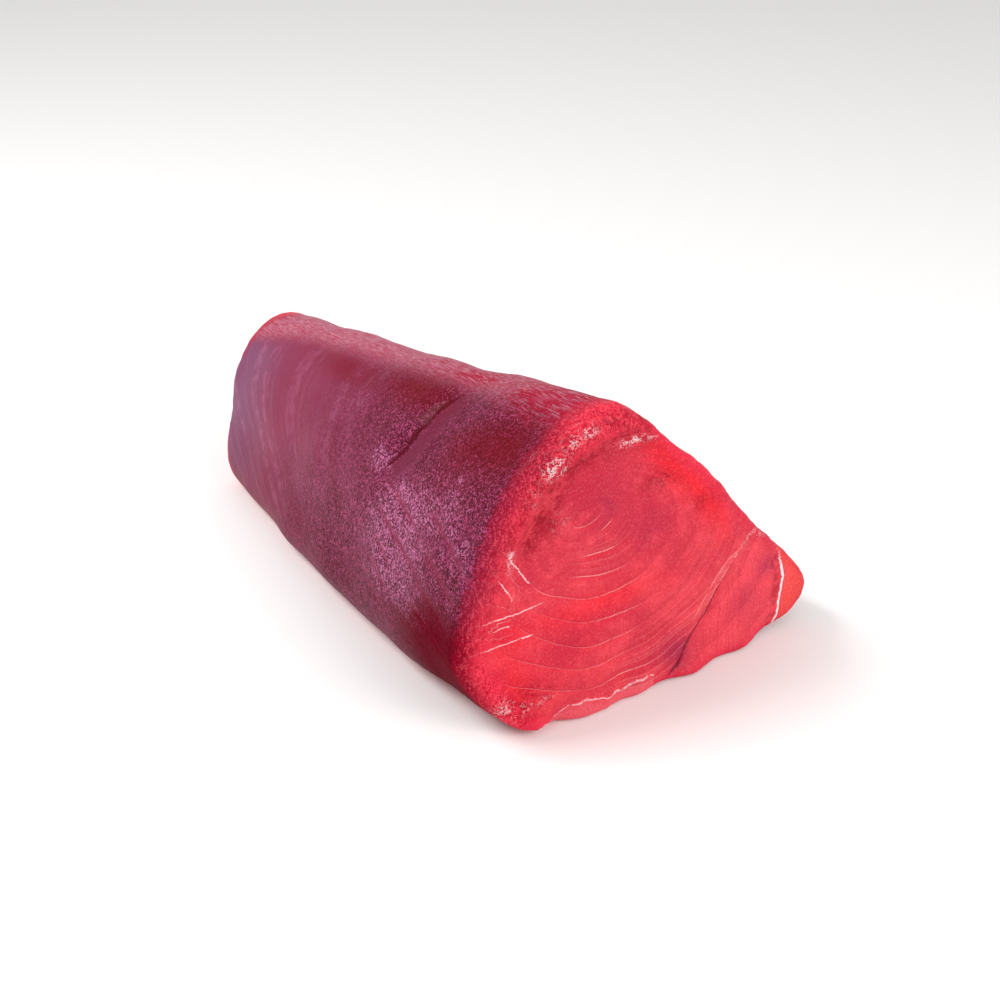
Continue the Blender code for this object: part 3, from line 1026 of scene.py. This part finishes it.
    def fit(self, rings: np.ndarray) -> np.ndarray:
        """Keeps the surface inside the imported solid's box.

        Args:
            rings: The surface in millimetres.

        Returns:
            The surface, drawn in along any axis on which it reaches past the box.
        """
        low, high = (np.array(corner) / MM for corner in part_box("tuna_loin"))
        own_low, own_high = rings.reshape(-1, 3).min(axis=0), rings.reshape(-1, 3).max(axis=0)
        share = np.minimum((high - low) / (own_high - own_low), 1.0)
        shift = np.where(share < 1.0, low - own_low * share, np.clip(0.0, low - own_low, high - own_high))
        return rings * share + shift


def one_per_vertex(values: np.ndarray) -> np.ndarray:
    """The values of a field in the mesh's vertex order: first pole, rings, last pole."""
    return np.concatenate([values[0, :1], values[1:-1].ravel(), values[-1, :1]])


def ring_mesh(name: str, rings: np.ndarray) -> bpy.types.Mesh:
    """Joins rings into a closed mesh.

    Args:
        name: The mesh's name.
        rings: Rings of points in metres; the first and the last are a single point repeated.

    Returns:
        A mesh with a quad between each four neighbours and a fan of triangles at each pole.
    """
    count, around = rings.shape[0] - 2, rings.shape[1]
    vertices = np.concatenate([rings[0, :1], rings[1:-1].reshape(-1, 3), rings[-1, :1]])
    grid = 1 + np.arange(count * around).reshape(count, around)
    after = np.roll(grid, -1, axis=1)
    quads = np.stack([grid[:-1], after[:-1], after[1:], grid[1:]], axis=-1).reshape(-1, 4)
    first = np.stack([np.zeros(around, int), after[0], grid[0]], axis=-1)
    last = np.stack([np.full(around, len(vertices) - 1), grid[-1], after[-1]], axis=-1)
    corners = np.concatenate([quads.ravel(), first.ravel(), last.ravel()])
    sizes = np.concatenate([np.full(len(quads), 4), np.full(2 * around, 3)])
    mesh = bpy.data.meshes.new(name)
    mesh.vertices.add(len(vertices))
    mesh.vertices.foreach_set("co", vertices.ravel())
    mesh.loops.add(len(corners))
    mesh.loops.foreach_set("vertex_index", corners)
    mesh.polygons.add(len(sizes))
    mesh.polygons.foreach_set("loop_start", np.concatenate([[0], np.cumsum(sizes)[:-1]]))
    mesh.update(calc_edges=True)
    mesh.validate()
    mesh.shade_smooth()
    return mesh


Socket = bpy.types.NodeSocket


def add_node(
    tree: bpy.types.NodeTree,
    kind: str,
    settings: dict[str, object] | None = None,
    links: dict[int | str, object] | None = None,
    out: int | str = 0,
) -> Socket | None:
    """Adds a node with its settings and links.

    Args:
        tree: The tree to add it to.
        kind: The node's type.
        settings: Attributes to set on it.
        links: For each input, by number or name, a socket to link or a value to set.
        out: Which output to give back.

    Returns:
        That output, or nothing for a node that has none.
    """
    node = tree.nodes.new(kind)
    for title, value in (settings or {}).items():
        setattr(node, title, value)
    for slot, source in (links or {}).items():
        if isinstance(source, bpy.types.NodeSocket):
            tree.links.new(source, node.inputs[slot])
        else:
            node.inputs[slot].default_value = source
    return node.outputs[out] if node.outputs else None


# The places of a Mix node's colour inputs and output, which share their names with other kinds
MIX_SHARE, MIX_UNDER, MIX_OVER, MIX_COLOUR = 0, 6, 7, 2
# The share of a soft line's half width over which it is full
LINE_CORE = 0.3
Value = str | float | Socket
Factor = Value | tuple[Value, float, float]


@dataclass
class Mixture:
    """A material's tree and the named values, fields and noise, that its colours are mixed by."""

    tree: bpy.types.NodeTree
    found: dict[str, Socket] = field(default_factory=dict)

    def named(self, value: Value) -> float | Socket:
        """The value that was found by this name, or the value itself where it is no name."""
        return self.found[value] if isinstance(value, str) else value

    def share(self, *factors: Factor) -> float | Socket:
        """Multiplies factors together.

        Args:
            factors: Values, or tuples of a value and two ends, which is first eased from 0 at the
                first end to 1 at the second; the first may be the larger.

        Returns:
            Their product.
        """
        eased, times = {"interpolation_type": "SMOOTHSTEP"}, {"operation": "MULTIPLY"}
        product = None
        for factor in factors:
            if isinstance(factor, tuple):
                value, low, high = factor
                links = {0: self.named(value), 1: low, 2: high}
                factor = add_node(self.tree, "ShaderNodeMapRange", eased, links)
            factor = self.named(factor)
            if product is not None:
                factor = add_node(self.tree, "ShaderNodeMath", times, {0: product, 1: factor})
            product = factor
        return product

    def total(self, start: float | Socket, *parts: tuple[Value, float]) -> Socket:
        """Adds values, each times its weight, to a start."""
        for value, weight in parts:
            links = {0: self.named(value), 1: weight, 2: start}
            start = add_node(self.tree, "ShaderNodeMath", {"operation": "MULTIPLY_ADD"}, links)
        return start

    def apart(self, value: Value, place: float) -> Socket:
        """How far a value is from a place, either way."""
        off = self.total(-place, (value, 1.0))
        return add_node(self.tree, "ShaderNodeMath", {"operation": "ABSOLUTE"}, {0: off})

    def line(self, gap: Value, half_width: float, place: float = 0.0) -> Socket:
        """A soft line where a signed distance equals a place: 1 on it, 0 beyond its half width."""
        return self.share((self.apart(gap, place), half_width, LINE_CORE * half_width))

    def every(self, number: Value, half_width: float) -> Socket:
        """Draws a soft line at each whole number.

        Args:
            number: The value that grows by 1 from line to line.
            half_width: Half the width of a line, as a share of the step between two.

        Returns:
            1 on the lines and 0 between them.
        """
        links = {0: self.named(number), 1: 0.5}
        off = add_node(self.tree, "ShaderNodeMath", {"operation": "PINGPONG"}, links)
        return self.share((off, half_width, LINE_CORE * half_width))

    def layered(self, under: str | Socket, *layers: tuple) -> Socket:
        """Lays colours over one another.

        Args:
            under: The lowest colour, as a socket or in hex.
            layers: Each a colour, then the factors of how much it covers, its strength last.

        Returns:
            The top colour.
        """
        for over, *factors in layers:
            under, over = (linear(colour) if isinstance(colour, str) else colour for colour in (under, over))
            links = {MIX_SHARE: self.share(*factors), MIX_UNDER: under, MIX_OVER: over}
            under = add_node(self.tree, "ShaderNodeMix", {"data_type": "RGBA"}, links, MIX_COLOUR)
        return under


@dataclass(frozen=True)
class RawTuna:
    """Raw tuna: flesh cut with a knife, and the plum membrane that lay under the skin, both wet.

    Flesh is translucent, so light spreads some millimetres into it and shadows turn red. Its water
    gives a soft gloss; the sharp specks where it is torn are painted highlights. The membrane is
    crumpled into tiny plates, with painted sheen in a paler mauve and painted shade in wine between.
    """

    coral: str = "DF3F4C"
    salmon: str = "EE4E5C"
    rosy: str = "B6223E"
    scarlet: str = "E81E2C"
    crimson: str = "92001C"
    shade: str = "B01C32"
    dark_mauve: str = "8A2048"
    septum: str = "F5A6A4"
    # Painted shade in the slit
    slit: str = "6E0C2C"
    # White of the tissue lines, also used for the painted glints
    tissue_and_glint_white: str = "FBE4E6"
    fat: str = "F04E3C"
    hem: str = "F07880"
    rim: str = "E02846"
    plum: str = "78203F"
    # Paler mauve, also used for painted sheen on the membrane
    mauve_and_sheen: str = "A64870"
    # Pale lines, also used for painted sheen on the bright patches
    pale_lines_and_sheen: str = "CC7CA6"
    # Painted shade in the crevices of the membrane
    crevice_shade: str = "380006"
    # Painted shade along the crease
    crease_shade: str = "560010"
    dusty: str = "84344E"
    # Painted shade in the valley
    valley_shade: str = "6A2038"
    maroon: str = "740016"
    # Painted lilac sheen
    lilac_sheen: str = "7C4A68"
    pink: str = "A6586C"
    raspberry: str = "A4082C"
    # Painted shade on the foot of the wall
    foot_shade: str = "640619"
    slope: str = "B42A40"
    ior: float = 1.38
    specular: float = 0.07
    scatter_weight: float = 0.1
    scatter_radius: tuple[float, float, float] = (1.0, 0.28, 0.24)
    scatter_mm: float = 1.8
    coat_weight: float = 0.04
    coat_roughness: float = 0.12
    bump_mm: float = 0.35
    # Real sizes in millimetres. Fibre ends are finer than this; they are drawn as coarse as shows
    fibre_mm: float = 0.6
    hair_mm: float = 0.8
    hair_stretch: float = 0.28
    grit_mm: float = 0.85
    crack_mm: float = 1.7
    mottle_mm: float = 2.2
    strand_mm: float = 0.7
    strand_stretch: float = 0.08
    crumple_mm: float = 2.1
    blotch_mm: float = 5.0
    cloud_mm: float = 17.0
    bend_mm: float = 2.4
    bend_by_mm: float = 2.6
    fleck_mm: float = 6.5
    noise_roughness: float = 0.55

    def material(self) -> bpy.types.Material:
        """Builds the material.

        Returns:
            A material that mixes flesh and membrane by the distance past the line where skin starts.
        """
        material = bpy.data.materials.new("raw_tuna_flesh_and_membrane")
        material.use_nodes = True
        tree = material.node_tree
        tree.nodes.clear()
        mix = Mixture(tree)
        self.read_fields(mix)
        self.patterns(mix)
        ragged = mix.total(-9.5, ("skin_gap", 1.0), ("blotch", 4.0), ("fibre", 9.0), ("hair", 6.0))
        outer = mix.share((ragged, -6.0, 4.5))
        mix.found["crumpled"] = mix.share(outer, "membrane")
        self.septa(mix)
        side = mix.layered(self.hidden_sides(mix), (self.skin(mix), "membrane"))
        colour = self.speckled(mix, mix.layered(self.flesh(mix), (side, outer)))
        # The foot of the wall is drier, so it mirrors less of the pale floor
        wet = mix.total(1.0, ("foot", -0.95))
        bump = {"Strength": 1.0, "Distance": self.bump_mm * MM, "Height": self.height(mix)}
        shader = add_node(
            tree,
            "ShaderNodeBsdfPrincipled",
            {"subsurface_method": "RANDOM_WALK"},
            {
                "Base Color": colour,
                "Roughness": mix.total(0.24, ("crumpled", 0.12), ("fibre", 0.16)),
                "Normal": add_node(tree, "ShaderNodeBump", None, bump),
                "IOR": self.ior,
                "Specular IOR Level": mix.share(wet, self.specular),
                "Subsurface Weight": self.scatter_weight,
                "Subsurface Radius": self.scatter_radius,
                "Subsurface Scale": self.scatter_mm * MM,
                "Coat Weight": mix.share(wet, self.coat_weight),
                "Coat Roughness": self.coat_roughness,
            },
        )
        add_node(tree, "ShaderNodeOutputMaterial", None, {"Surface": shader})
        return material

    def read_fields(self, mix: Mixture) -> None:
        """Reads the block's fields, three to an attribute.

        Args:
            mix: Where each field is kept by its name.
        """
        for title, names in BUNDLES.items():
            vector = add_node(mix.tree, "ShaderNodeAttribute", {"attribute_name": title}, None, "Vector")
            for place, name in enumerate(names):
                mix.found[name] = add_node(mix.tree, "ShaderNodeSeparateXYZ", None, {0: vector}, place)

    def patterns(self, mix: Mixture) -> None:
        """Adds noise at the real sizes above, all from the piece's own coordinates in millimetres.

        Args:
            mix: Where each pattern is kept by its name.
        """
        tree, scaled = mix.tree, {"operation": "SCALE"}
        place = add_node(tree, "ShaderNodeTexCoord", None, None, "Object")
        place = add_node(tree, "ShaderNodeVectorMath", scaled, {0: place, "Scale": 1.0 / MM})
        hairs, strands = (
            add_node(tree, "ShaderNodeVectorMath", {"operation": "MULTIPLY"}, {0: place, 1: stretch})
            for stretch in ((1.0, 1.0, self.hair_stretch), (1.0, self.strand_stretch, 1.0))
        )
        for name, source, size, detail in (
            ("fibre", place, self.fibre_mm, 1.0),
            ("hair", hairs, self.hair_mm, 2.0),
            ("grit", place, self.grit_mm, 1.5),
            ("crack", place, self.crack_mm, 3.0),
            ("mottle", place, self.mottle_mm, 2.0),
            ("strand", strands, self.strand_mm, 3.0),
            ("blotch", place, self.blotch_mm, 3.0),
            ("cloud", place, self.cloud_mm, 2.0),
        ):
            links = {"Vector": source, "Scale": 1.0 / size, "Detail": detail}
            links["Roughness"] = self.noise_roughness
            mix.found[name] = add_node(tree, "ShaderNodeTexNoise", None, links, 0)
        # Creases in crumpled skin bend, so their places are pushed about before the cells are drawn
        bend = {"Vector": place, "Scale": 1.0 / self.bend_mm, "Detail": 2.0}
        bend = add_node(tree, "ShaderNodeTexNoise", None, bend, 1)
        bend = add_node(tree, "ShaderNodeVectorMath", scaled, {0: bend, "Scale": self.bend_by_mm})
        bent = add_node(tree, "ShaderNodeVectorMath", {"operation": "ADD"}, {0: place, 1: bend})
        cells = {"Vector": bent, "Scale": 1.0 / self.crumple_mm}
        cells = add_node(tree, "ShaderNodeTexVoronoi", {"feature": "DISTANCE_TO_EDGE"}, cells)
        flecks = {"Vector": place, "Scale": 1.0 / self.fleck_mm}
        flecks = add_node(tree, "ShaderNodeTexVoronoi", None, flecks)
        mix.found["wrinkle"] = cells
        mix.found["fleck"] = mix.share((flecks, 0.085, 0.045))
        # Crisp specks of painted glint, where torn wet flesh catches the light
        mix.found["glint_speck"] = mix.share(mix.line("crack", 0.05, 0.5), ("mottle", 0.46, 0.52))

    def septa(self, mix: Mixture) -> None:
        """Thin lines where the ring number, or three times it in the fan, is a whole number.

        Args:
            mix: Where the lines are kept: the broken pale line, the fan's finer lines, the dotted dark
                line, the band from one line to the next, and soft streaks that run along the rings.
        """
        wander = mix.total(-0.15, ("ring", 1.0), ("blotch", 0.10), ("cloud", 0.2))
        thrice = mix.share(wander, 3.0)
        below = mix.total(0.03, (wander, 1.0))
        broken = ("mottle", 0.28, 0.44)
        streaks = {"W": thrice, "Scale": 1.0, "Detail": 3.0, "Roughness": 0.6}
        mix.found["ring_line"] = mix.share(mix.every(wander, 0.034), broken, "ring_seen")
        mix.found["fan_line"] = mix.share(mix.every(thrice, 0.08), broken, "fan")
        mix.found["dark_line"] = mix.share(mix.every(below, 0.04), ("grit", 0.38, 0.52), "ring_dark")
        mix.found["band"] = add_node(mix.tree, "ShaderNodeMath", {"operation": "FRACT"}, {0: wander})
        mix.found["streak"] = add_node(mix.tree, "ShaderNodeTexNoise", {"noise_dimensions": "1D"}, streaks)

    def flesh(self, mix: Mixture) -> Socket:
        """Mixes the colour of the cut face, from its broad tones down to its lines and flecks, with painted
        shade in the slit and painted glints.

        Args:
            mix: The material's tree and named values.

        Returns:
            The colour.
        """
        smear = mix.total(0.0, ("streak", 0.25), ("blotch", 0.5), ("mottle", 0.35))
        smear = mix.total(0.3, (mix.share((smear, 0.50, 0.62)), 0.7))
        grain = mix.total(0.0, ("grit", 0.6), ("fibre", 0.4))
        patches = mix.total(0.0, ("cloud", 0.5), ("blotch", 0.5))
        light = mix.total(0.0, ("cloud", 0.4), ("blotch", 0.6))
        along = {"W": mix.found["tendon"], "Scale": 0.9, "Detail": 2.0}
        along = add_node(mix.tree, "ShaderNodeTexNoise", {"noise_dimensions": "1D"}, along)
        # Each line wanders off its plain course by some tenths of a millimetre of noise: the painted shade in
        # the slit, the tissue lines and the lip's painted highlight
        slit_shade = mix.line(mix.total(-0.8, ("slit", 1.0), ("mottle", 1.6)), 1.6)
        seam = mix.line(mix.total(-0.6, ("seam_line", 1.0), ("mottle", 1.2)), 0.5)
        tendon = mix.line(mix.total(-0.8, ("tendon", 1.0), ("mottle", 1.6)), 0.8)
        hem = mix.line(mix.total(-2.9, ("hem", 1.0), ("mottle", 0.8), ("blotch", 5.0)), 0.55)
        lip = mix.line(mix.total(-4.0, ("lip", 1.0), ("grit", 4.0), ("mottle", 4.0)), 1.5)
        scratch = mix.line(mix.total(-1.2, ("scratch", 1.0), ("grit", 0.8), ("blotch", 1.6)), 0.32)
        torn = mix.share(mix.line("tendon", 3.0, -2.6), ("blotch", 0.40, 0.56))
        return mix.layered(
            self.coral,
            (self.rosy, "rosy"),
            (self.rosy, ("cloud", 0.42, 0.66), 0.25),
            (self.rosy, (patches, 0.46, 0.6), 0.22),
            (self.salmon, (light, 0.5, 0.38), 0.35),
            (self.scarlet, ("band", 0.5, 0.0), "ring_seen", 0.3),
            (self.salmon, "salmon", 0.6),
            (self.scarlet, "scarlet", 0.85),
            (self.shade, ("band", 0.2, 0.95), 0.24),
            (self.shade, ("streak", 0.52, 0.68), "fan", 0.28),
            (self.septum, ("streak", 0.48, 0.34), "fan", 0.10),
            (self.rim, ("edge", -6.0, 1.5), 0.7),
            (self.crimson, "crimson", smear, 0.92),
            (self.shade, (along, 0.52, 0.66), ("seam", 1.0, 6.0), 0.3),
            (self.dark_mauve, "dark_mauve", 0.65),
            (self.crimson, torn, ("seam", 12.0, 18.0), 0.5),
            (self.fat, "tip", 0.5),
            (self.hem, ("hem", 1.5, -3.0), 0.4),
            (self.septum, "ring_line", 0.8),
            (self.septum, "fan_line", 0.24),
            (self.raspberry, "dark_line", 0.6),
            # Painted shade in the slit
            (self.slit, slit_shade, 0.85),
            (self.septum, seam, mix.total(1.0, (slit_shade, -1.0)), ("blotch", 0.36, 0.5), 0.5),
            (self.tissue_and_glint_white, tendon, ("seam", 6.0, 9.0)),
            (self.tissue_and_glint_white, hem, ("mottle", 0.3, 0.5), 0.5),
            (self.tissue_and_glint_white, scratch, ("blotch", 0.3, 0.5), 0.65),
            # Painted white highlights along the lip of the rim
            (self.tissue_and_glint_white, lip, ("fibre", 0.46, 0.52), ("glint", 0.25, 0.7), 0.95),
            (self.crimson, "fleck", 0.5),
            # Painted white glint specks on torn flesh
            (self.tissue_and_glint_white, "glint_speck", ("glint", 0.1, 0.8), 0.95),
            (self.septum, (grain, 0.50, 0.66), 0.09),
            (self.shade, (grain, 0.50, 0.36), 0.26),
        )

    def skin(self, mix: Mixture) -> Socket:
        """Mixes the broad colours of the membrane on the wall and of the strip along the ridge, with patches
        of painted sheen and painted shade in the valley and on the foot.

        Args:
            mix: The material's tree and named values.

        Returns:
            The colour.
        """
        bands = {"W": mix.found["stripe"], "Scale": 0.9, "Detail": 2.0}
        bands = add_node(mix.tree, "ShaderNodeTexNoise", {"noise_dimensions": "1D"}, bands)
        smooth = mix.share(mix.total(1.0, ("speckle", -1.0)), mix.total(1.0, ("strip", -1.0)))
        return mix.layered(
            self.plum,
            (self.mauve_and_sheen, ("cloud", 0.36, 0.66), 0.3),
            (self.dusty, smooth, 0.85),
            # Painted sheen on the bright patches
            (self.mauve_and_sheen, "sheen_patch", 0.5),
            (self.maroon, "maroon", 0.9),
            # Painted lilac sheen towards the far end
            (self.lilac_sheen, "lilac_sheen", 0.85),
            (self.pink, "strip", 0.95),
            (self.septum, ("strand", 0.50, 0.62), "strip", 0.18),
            (self.raspberry, ("strand", 0.50, 0.40), "strip", 0.5),
            (self.raspberry, "raspberry", ("strand", 0.64, 0.46), 0.95),
            # Painted shade on the foot of the wall
            (self.foot_shade, "foot", 0.9),
            (self.pale_lines_and_sheen, (bands, 0.48, 0.66), "stripe_seen", ("blotch", 0.36, 0.62), 0.2),
            # Painted shade in the valley beside the crease
            (self.valley_shade, "valley_shade", 0.8),
            (self.maroon, "groove", 0.5),
        )

    def speckled(self, mix: Mixture, colour: Socket) -> Socket:
        """Lays the plates of crumpled membrane over the colours of wall and rim, and paints shade on the
        crease and the foot.

        Args:
            mix: The material's tree and named values.
            colour: The colour so far.

        Returns:
            The colour with pale plates of painted sheen and dark gaps of painted shade, which are fewer on
            the flesh of the rim.
        """
        on_rim = mix.share(("edge", -3.0, 2.0), ("skin_gap", 5.0, -1.0), "membrane")
        off_rim = mix.share(("skin_gap", -2.0, 4.0))
        seen = mix.share("speckle", off_rim)
        plates = mix.total(0.0, ("fibre", 0.4), ("grit", 0.4), ("hair", 0.2))
        from_crack = mix.apart("crack", 0.5)
        whole = mix.share(seen, (from_crack, 0.02, 0.07))
        calm = mix.total(1.0, ("maroon", -0.5), ("foot", -0.7))
        sheen_mask = mix.total(-0.8, ("sheen_patch", 1.0), ("blotch", 1.6))
        crease = mix.total(-1.75, ("crease", 1.0), ("fibre", 2.0), ("mottle", 1.5))
        strokes = mix.total(0.0, ("hair", 0.6), ("fibre", 0.4))
        fringe = mix.total(-7.0, ("skin_gap", 1.0), ("hair", 8.0), ("mottle", 6.0))
        return mix.layered(
            colour,
            # Painted sheen on the pale plates and patches, painted shade in the dark gaps and cracks
            (self.mauve_and_sheen, (plates, 0.50, 0.56), whole, calm, 0.95),
            (self.pale_lines_and_sheen, (plates, 0.42, 0.52), whole, (sheen_mask, 0.25, 0.75), 0.6),
            (self.crevice_shade, (plates, 0.50, 0.44), seen, 0.8),
            (self.crevice_shade, (from_crack, 0.045, 0.012), ("grit", 0.36, 0.5), seen, 0.9),
            (self.maroon, "maroon", ("skin_gap", -1.0, 5.0), "membrane", 0.6),
            # Painted shade on the foot of the wall
            (self.foot_shade, "foot", ("skin_gap", -1.0, 4.0), "membrane", 0.8),
            # Painted shade along the crease
            (self.crease_shade, mix.line(crease, 1.5), off_rim, 0.85),
            (self.raspberry, mix.line(fringe, 5.0, 1.0), "membrane", 0.5),
            (self.salmon, (strokes, 0.51, 0.59), on_rim, 0.6),
            (self.crimson, (strokes, 0.49, 0.40), on_rim, 0.55),
        )

    def hidden_sides(self, mix: Mixture) -> Socket:
        """Mixes the colour of the slope and the underside, which were cut along the muscle.

        Args:
            mix: The material's tree and named values.

        Returns:
            The colour.
        """
        bent = mix.total(-0.26, ("stripe", 1.0), ("blotch", 0.12), ("cloud", 0.4))
        band = add_node(mix.tree, "ShaderNodeMath", {"operation": "FRACT"}, {0: bent})
        stripe = mix.share(mix.every(bent, 0.045), "stripe_seen", ("cloud", 0.36, 0.56), ("mottle", 0.3, 0.5))
        return mix.layered(
            self.slope,
            (self.rosy, ("cloud", 0.36, 0.66), 0.6),
            (self.maroon, ("blotch", 0.36, 0.62), 0.18),
            (self.maroon, (band, 0.1, 0.95), "stripe_seen", 0.2),
            (self.septum, stripe, 0.34),
            (self.crimson, "fleck", 0.5),
        )

    def height(self, mix: Mixture) -> Socket:
        """Adds up the finest relief.

        Args:
            mix: The material's tree and named values.

        Returns:
            The height of crumpled membrane, fibre ends, raised lines, the lumpy rim and torn flesh.
        """
        crumple = mix.total(0.0, ("fibre", 0.9), ("mottle", 1.5), ("wrinkle", 0.9))
        crumple = mix.share(crumple, "crumpled", mix.total(0.25, ("speckle", 0.75)))
        rim = mix.share(("edge", -6.0, -1.0), ("edge", 14.0, 6.0), "wrinkle")
        torn = mix.share("wrinkle", "glint")
        fine = mix.total(0.0, ("fibre", 0.12), ("mottle", 0.4), ("ring_line", 0.3))
        return mix.total(fine, (crumple, 1.0), (rim, 1.2), (torn, 2.0))


class Softbox(Enum):
    """The studio's lights, each as (place, aim, width, power) in metres and watts."""

    KEY = ((-0.7, 0.3, 1.0), (0.0, 0.0, 0.05), 0.45, 9.5)
    FRONT = ((0.3, -1.1, 0.8), (0.0, -0.05, 0.05), 0.7, 8.0)


@dataclass
class Studio:
    """A pale floor, soft light, and the camera where the photographer stood."""

    camera_place: tuple[float, float, float] = (-0.2799, -0.4440, 0.3295)
    azimuth: float = -33.0
    elevation: float = 30.0
    lens_mm: float = 50.4
    sensor_mm: float = 36.0
    clip_start: float = 0.01
    floor_width: float = 8.0
    floor_colour: str = "F4F3F2"
    floor_roughness: float = 0.9
    sky_colour: str = "FFFFFF"
    sky_strength: float = 0.66

    def floor(self) -> bpy.types.Object:
        """Returns:
            The floor.
        """
        half = self.floor_width / 2.0
        mesh = bpy.data.meshes.new("floor")
        corners = [(-half, -half, 0.0), (half, -half, 0.0), (half, half, 0.0), (-half, half, 0.0)]
        mesh.from_pydata(corners, [], [(0, 1, 2, 3)])
        floor = bpy.data.objects.new("floor", mesh)
        bpy.context.scene.collection.objects.link(floor)
        paper = bpy.data.materials.new("matt_white_paper")
        paper.use_nodes = True
        surface = paper.node_tree.nodes["Principled BSDF"]
        surface.inputs["Base Color"].default_value = linear(self.floor_colour)
        surface.inputs["Roughness"].default_value = self.floor_roughness
        mesh.materials.append(paper)
        return floor

    def lights(self) -> None:
        """Adds the softboxes and the white surroundings."""
        for box in Softbox:
            place, aim, width, power = box.value
            lamp = bpy.data.lights.new(box.name.lower(), "AREA")
            lamp.size = width
            lamp.energy = power
            holder = bpy.data.objects.new(box.name.lower(), lamp)
            holder.location = place
            holder.rotation_euler = (Vector(aim) - Vector(place)).to_track_quat("-Z", "Y").to_euler()
            bpy.context.scene.collection.objects.link(holder)
        world = bpy.data.worlds.new("studio")
        world.use_nodes = True
        sky = world.node_tree.nodes["Background"]
        sky.inputs["Color"].default_value = linear(self.sky_colour)
        sky.inputs["Strength"].default_value = self.sky_strength
        bpy.context.scene.world = world

    def camera(self) -> None:
        """Adds the camera, turned by the azimuth and raised by the elevation."""
        turn, rise = math.radians(self.azimuth), math.radians(self.elevation)
        right = Vector((math.cos(turn), math.sin(turn), 0.0))
        back = Vector((math.sin(turn) * math.cos(rise), -math.cos(turn) * math.cos(rise), math.sin(rise)))
        up = back.cross(right)
        lens = bpy.data.cameras.new("camera")
        lens.lens = self.lens_mm
        lens.sensor_width = self.sensor_mm
        lens.clip_start = self.clip_start
        holder = bpy.data.objects.new("camera", lens)
        axes = Matrix((right, up, back)).transposed().to_4x4()
        holder.matrix_world = Matrix.Translation(self.camera_place) @ axes
        bpy.context.scene.collection.objects.link(holder)
        bpy.context.scene.camera = holder
        bpy.context.scene.view_settings.view_transform = "Standard"

    def build(self) -> None:
        """Builds the whole studio."""
        self.floor()
        self.lights()
        self.camera()


def main() -> None:
    """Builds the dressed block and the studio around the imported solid."""
    logging.basicConfig(level=logging.INFO, format="%(name)s: %(message)s")
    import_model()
    loin = TunaLoin().build()
    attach(loin, "root")
    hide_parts("tuna_loin")
    LOG.info("%s: %d faces", loin.name, len(loin.data.polygons))
    Studio().build()


if __name__ == "__main__":
    main()
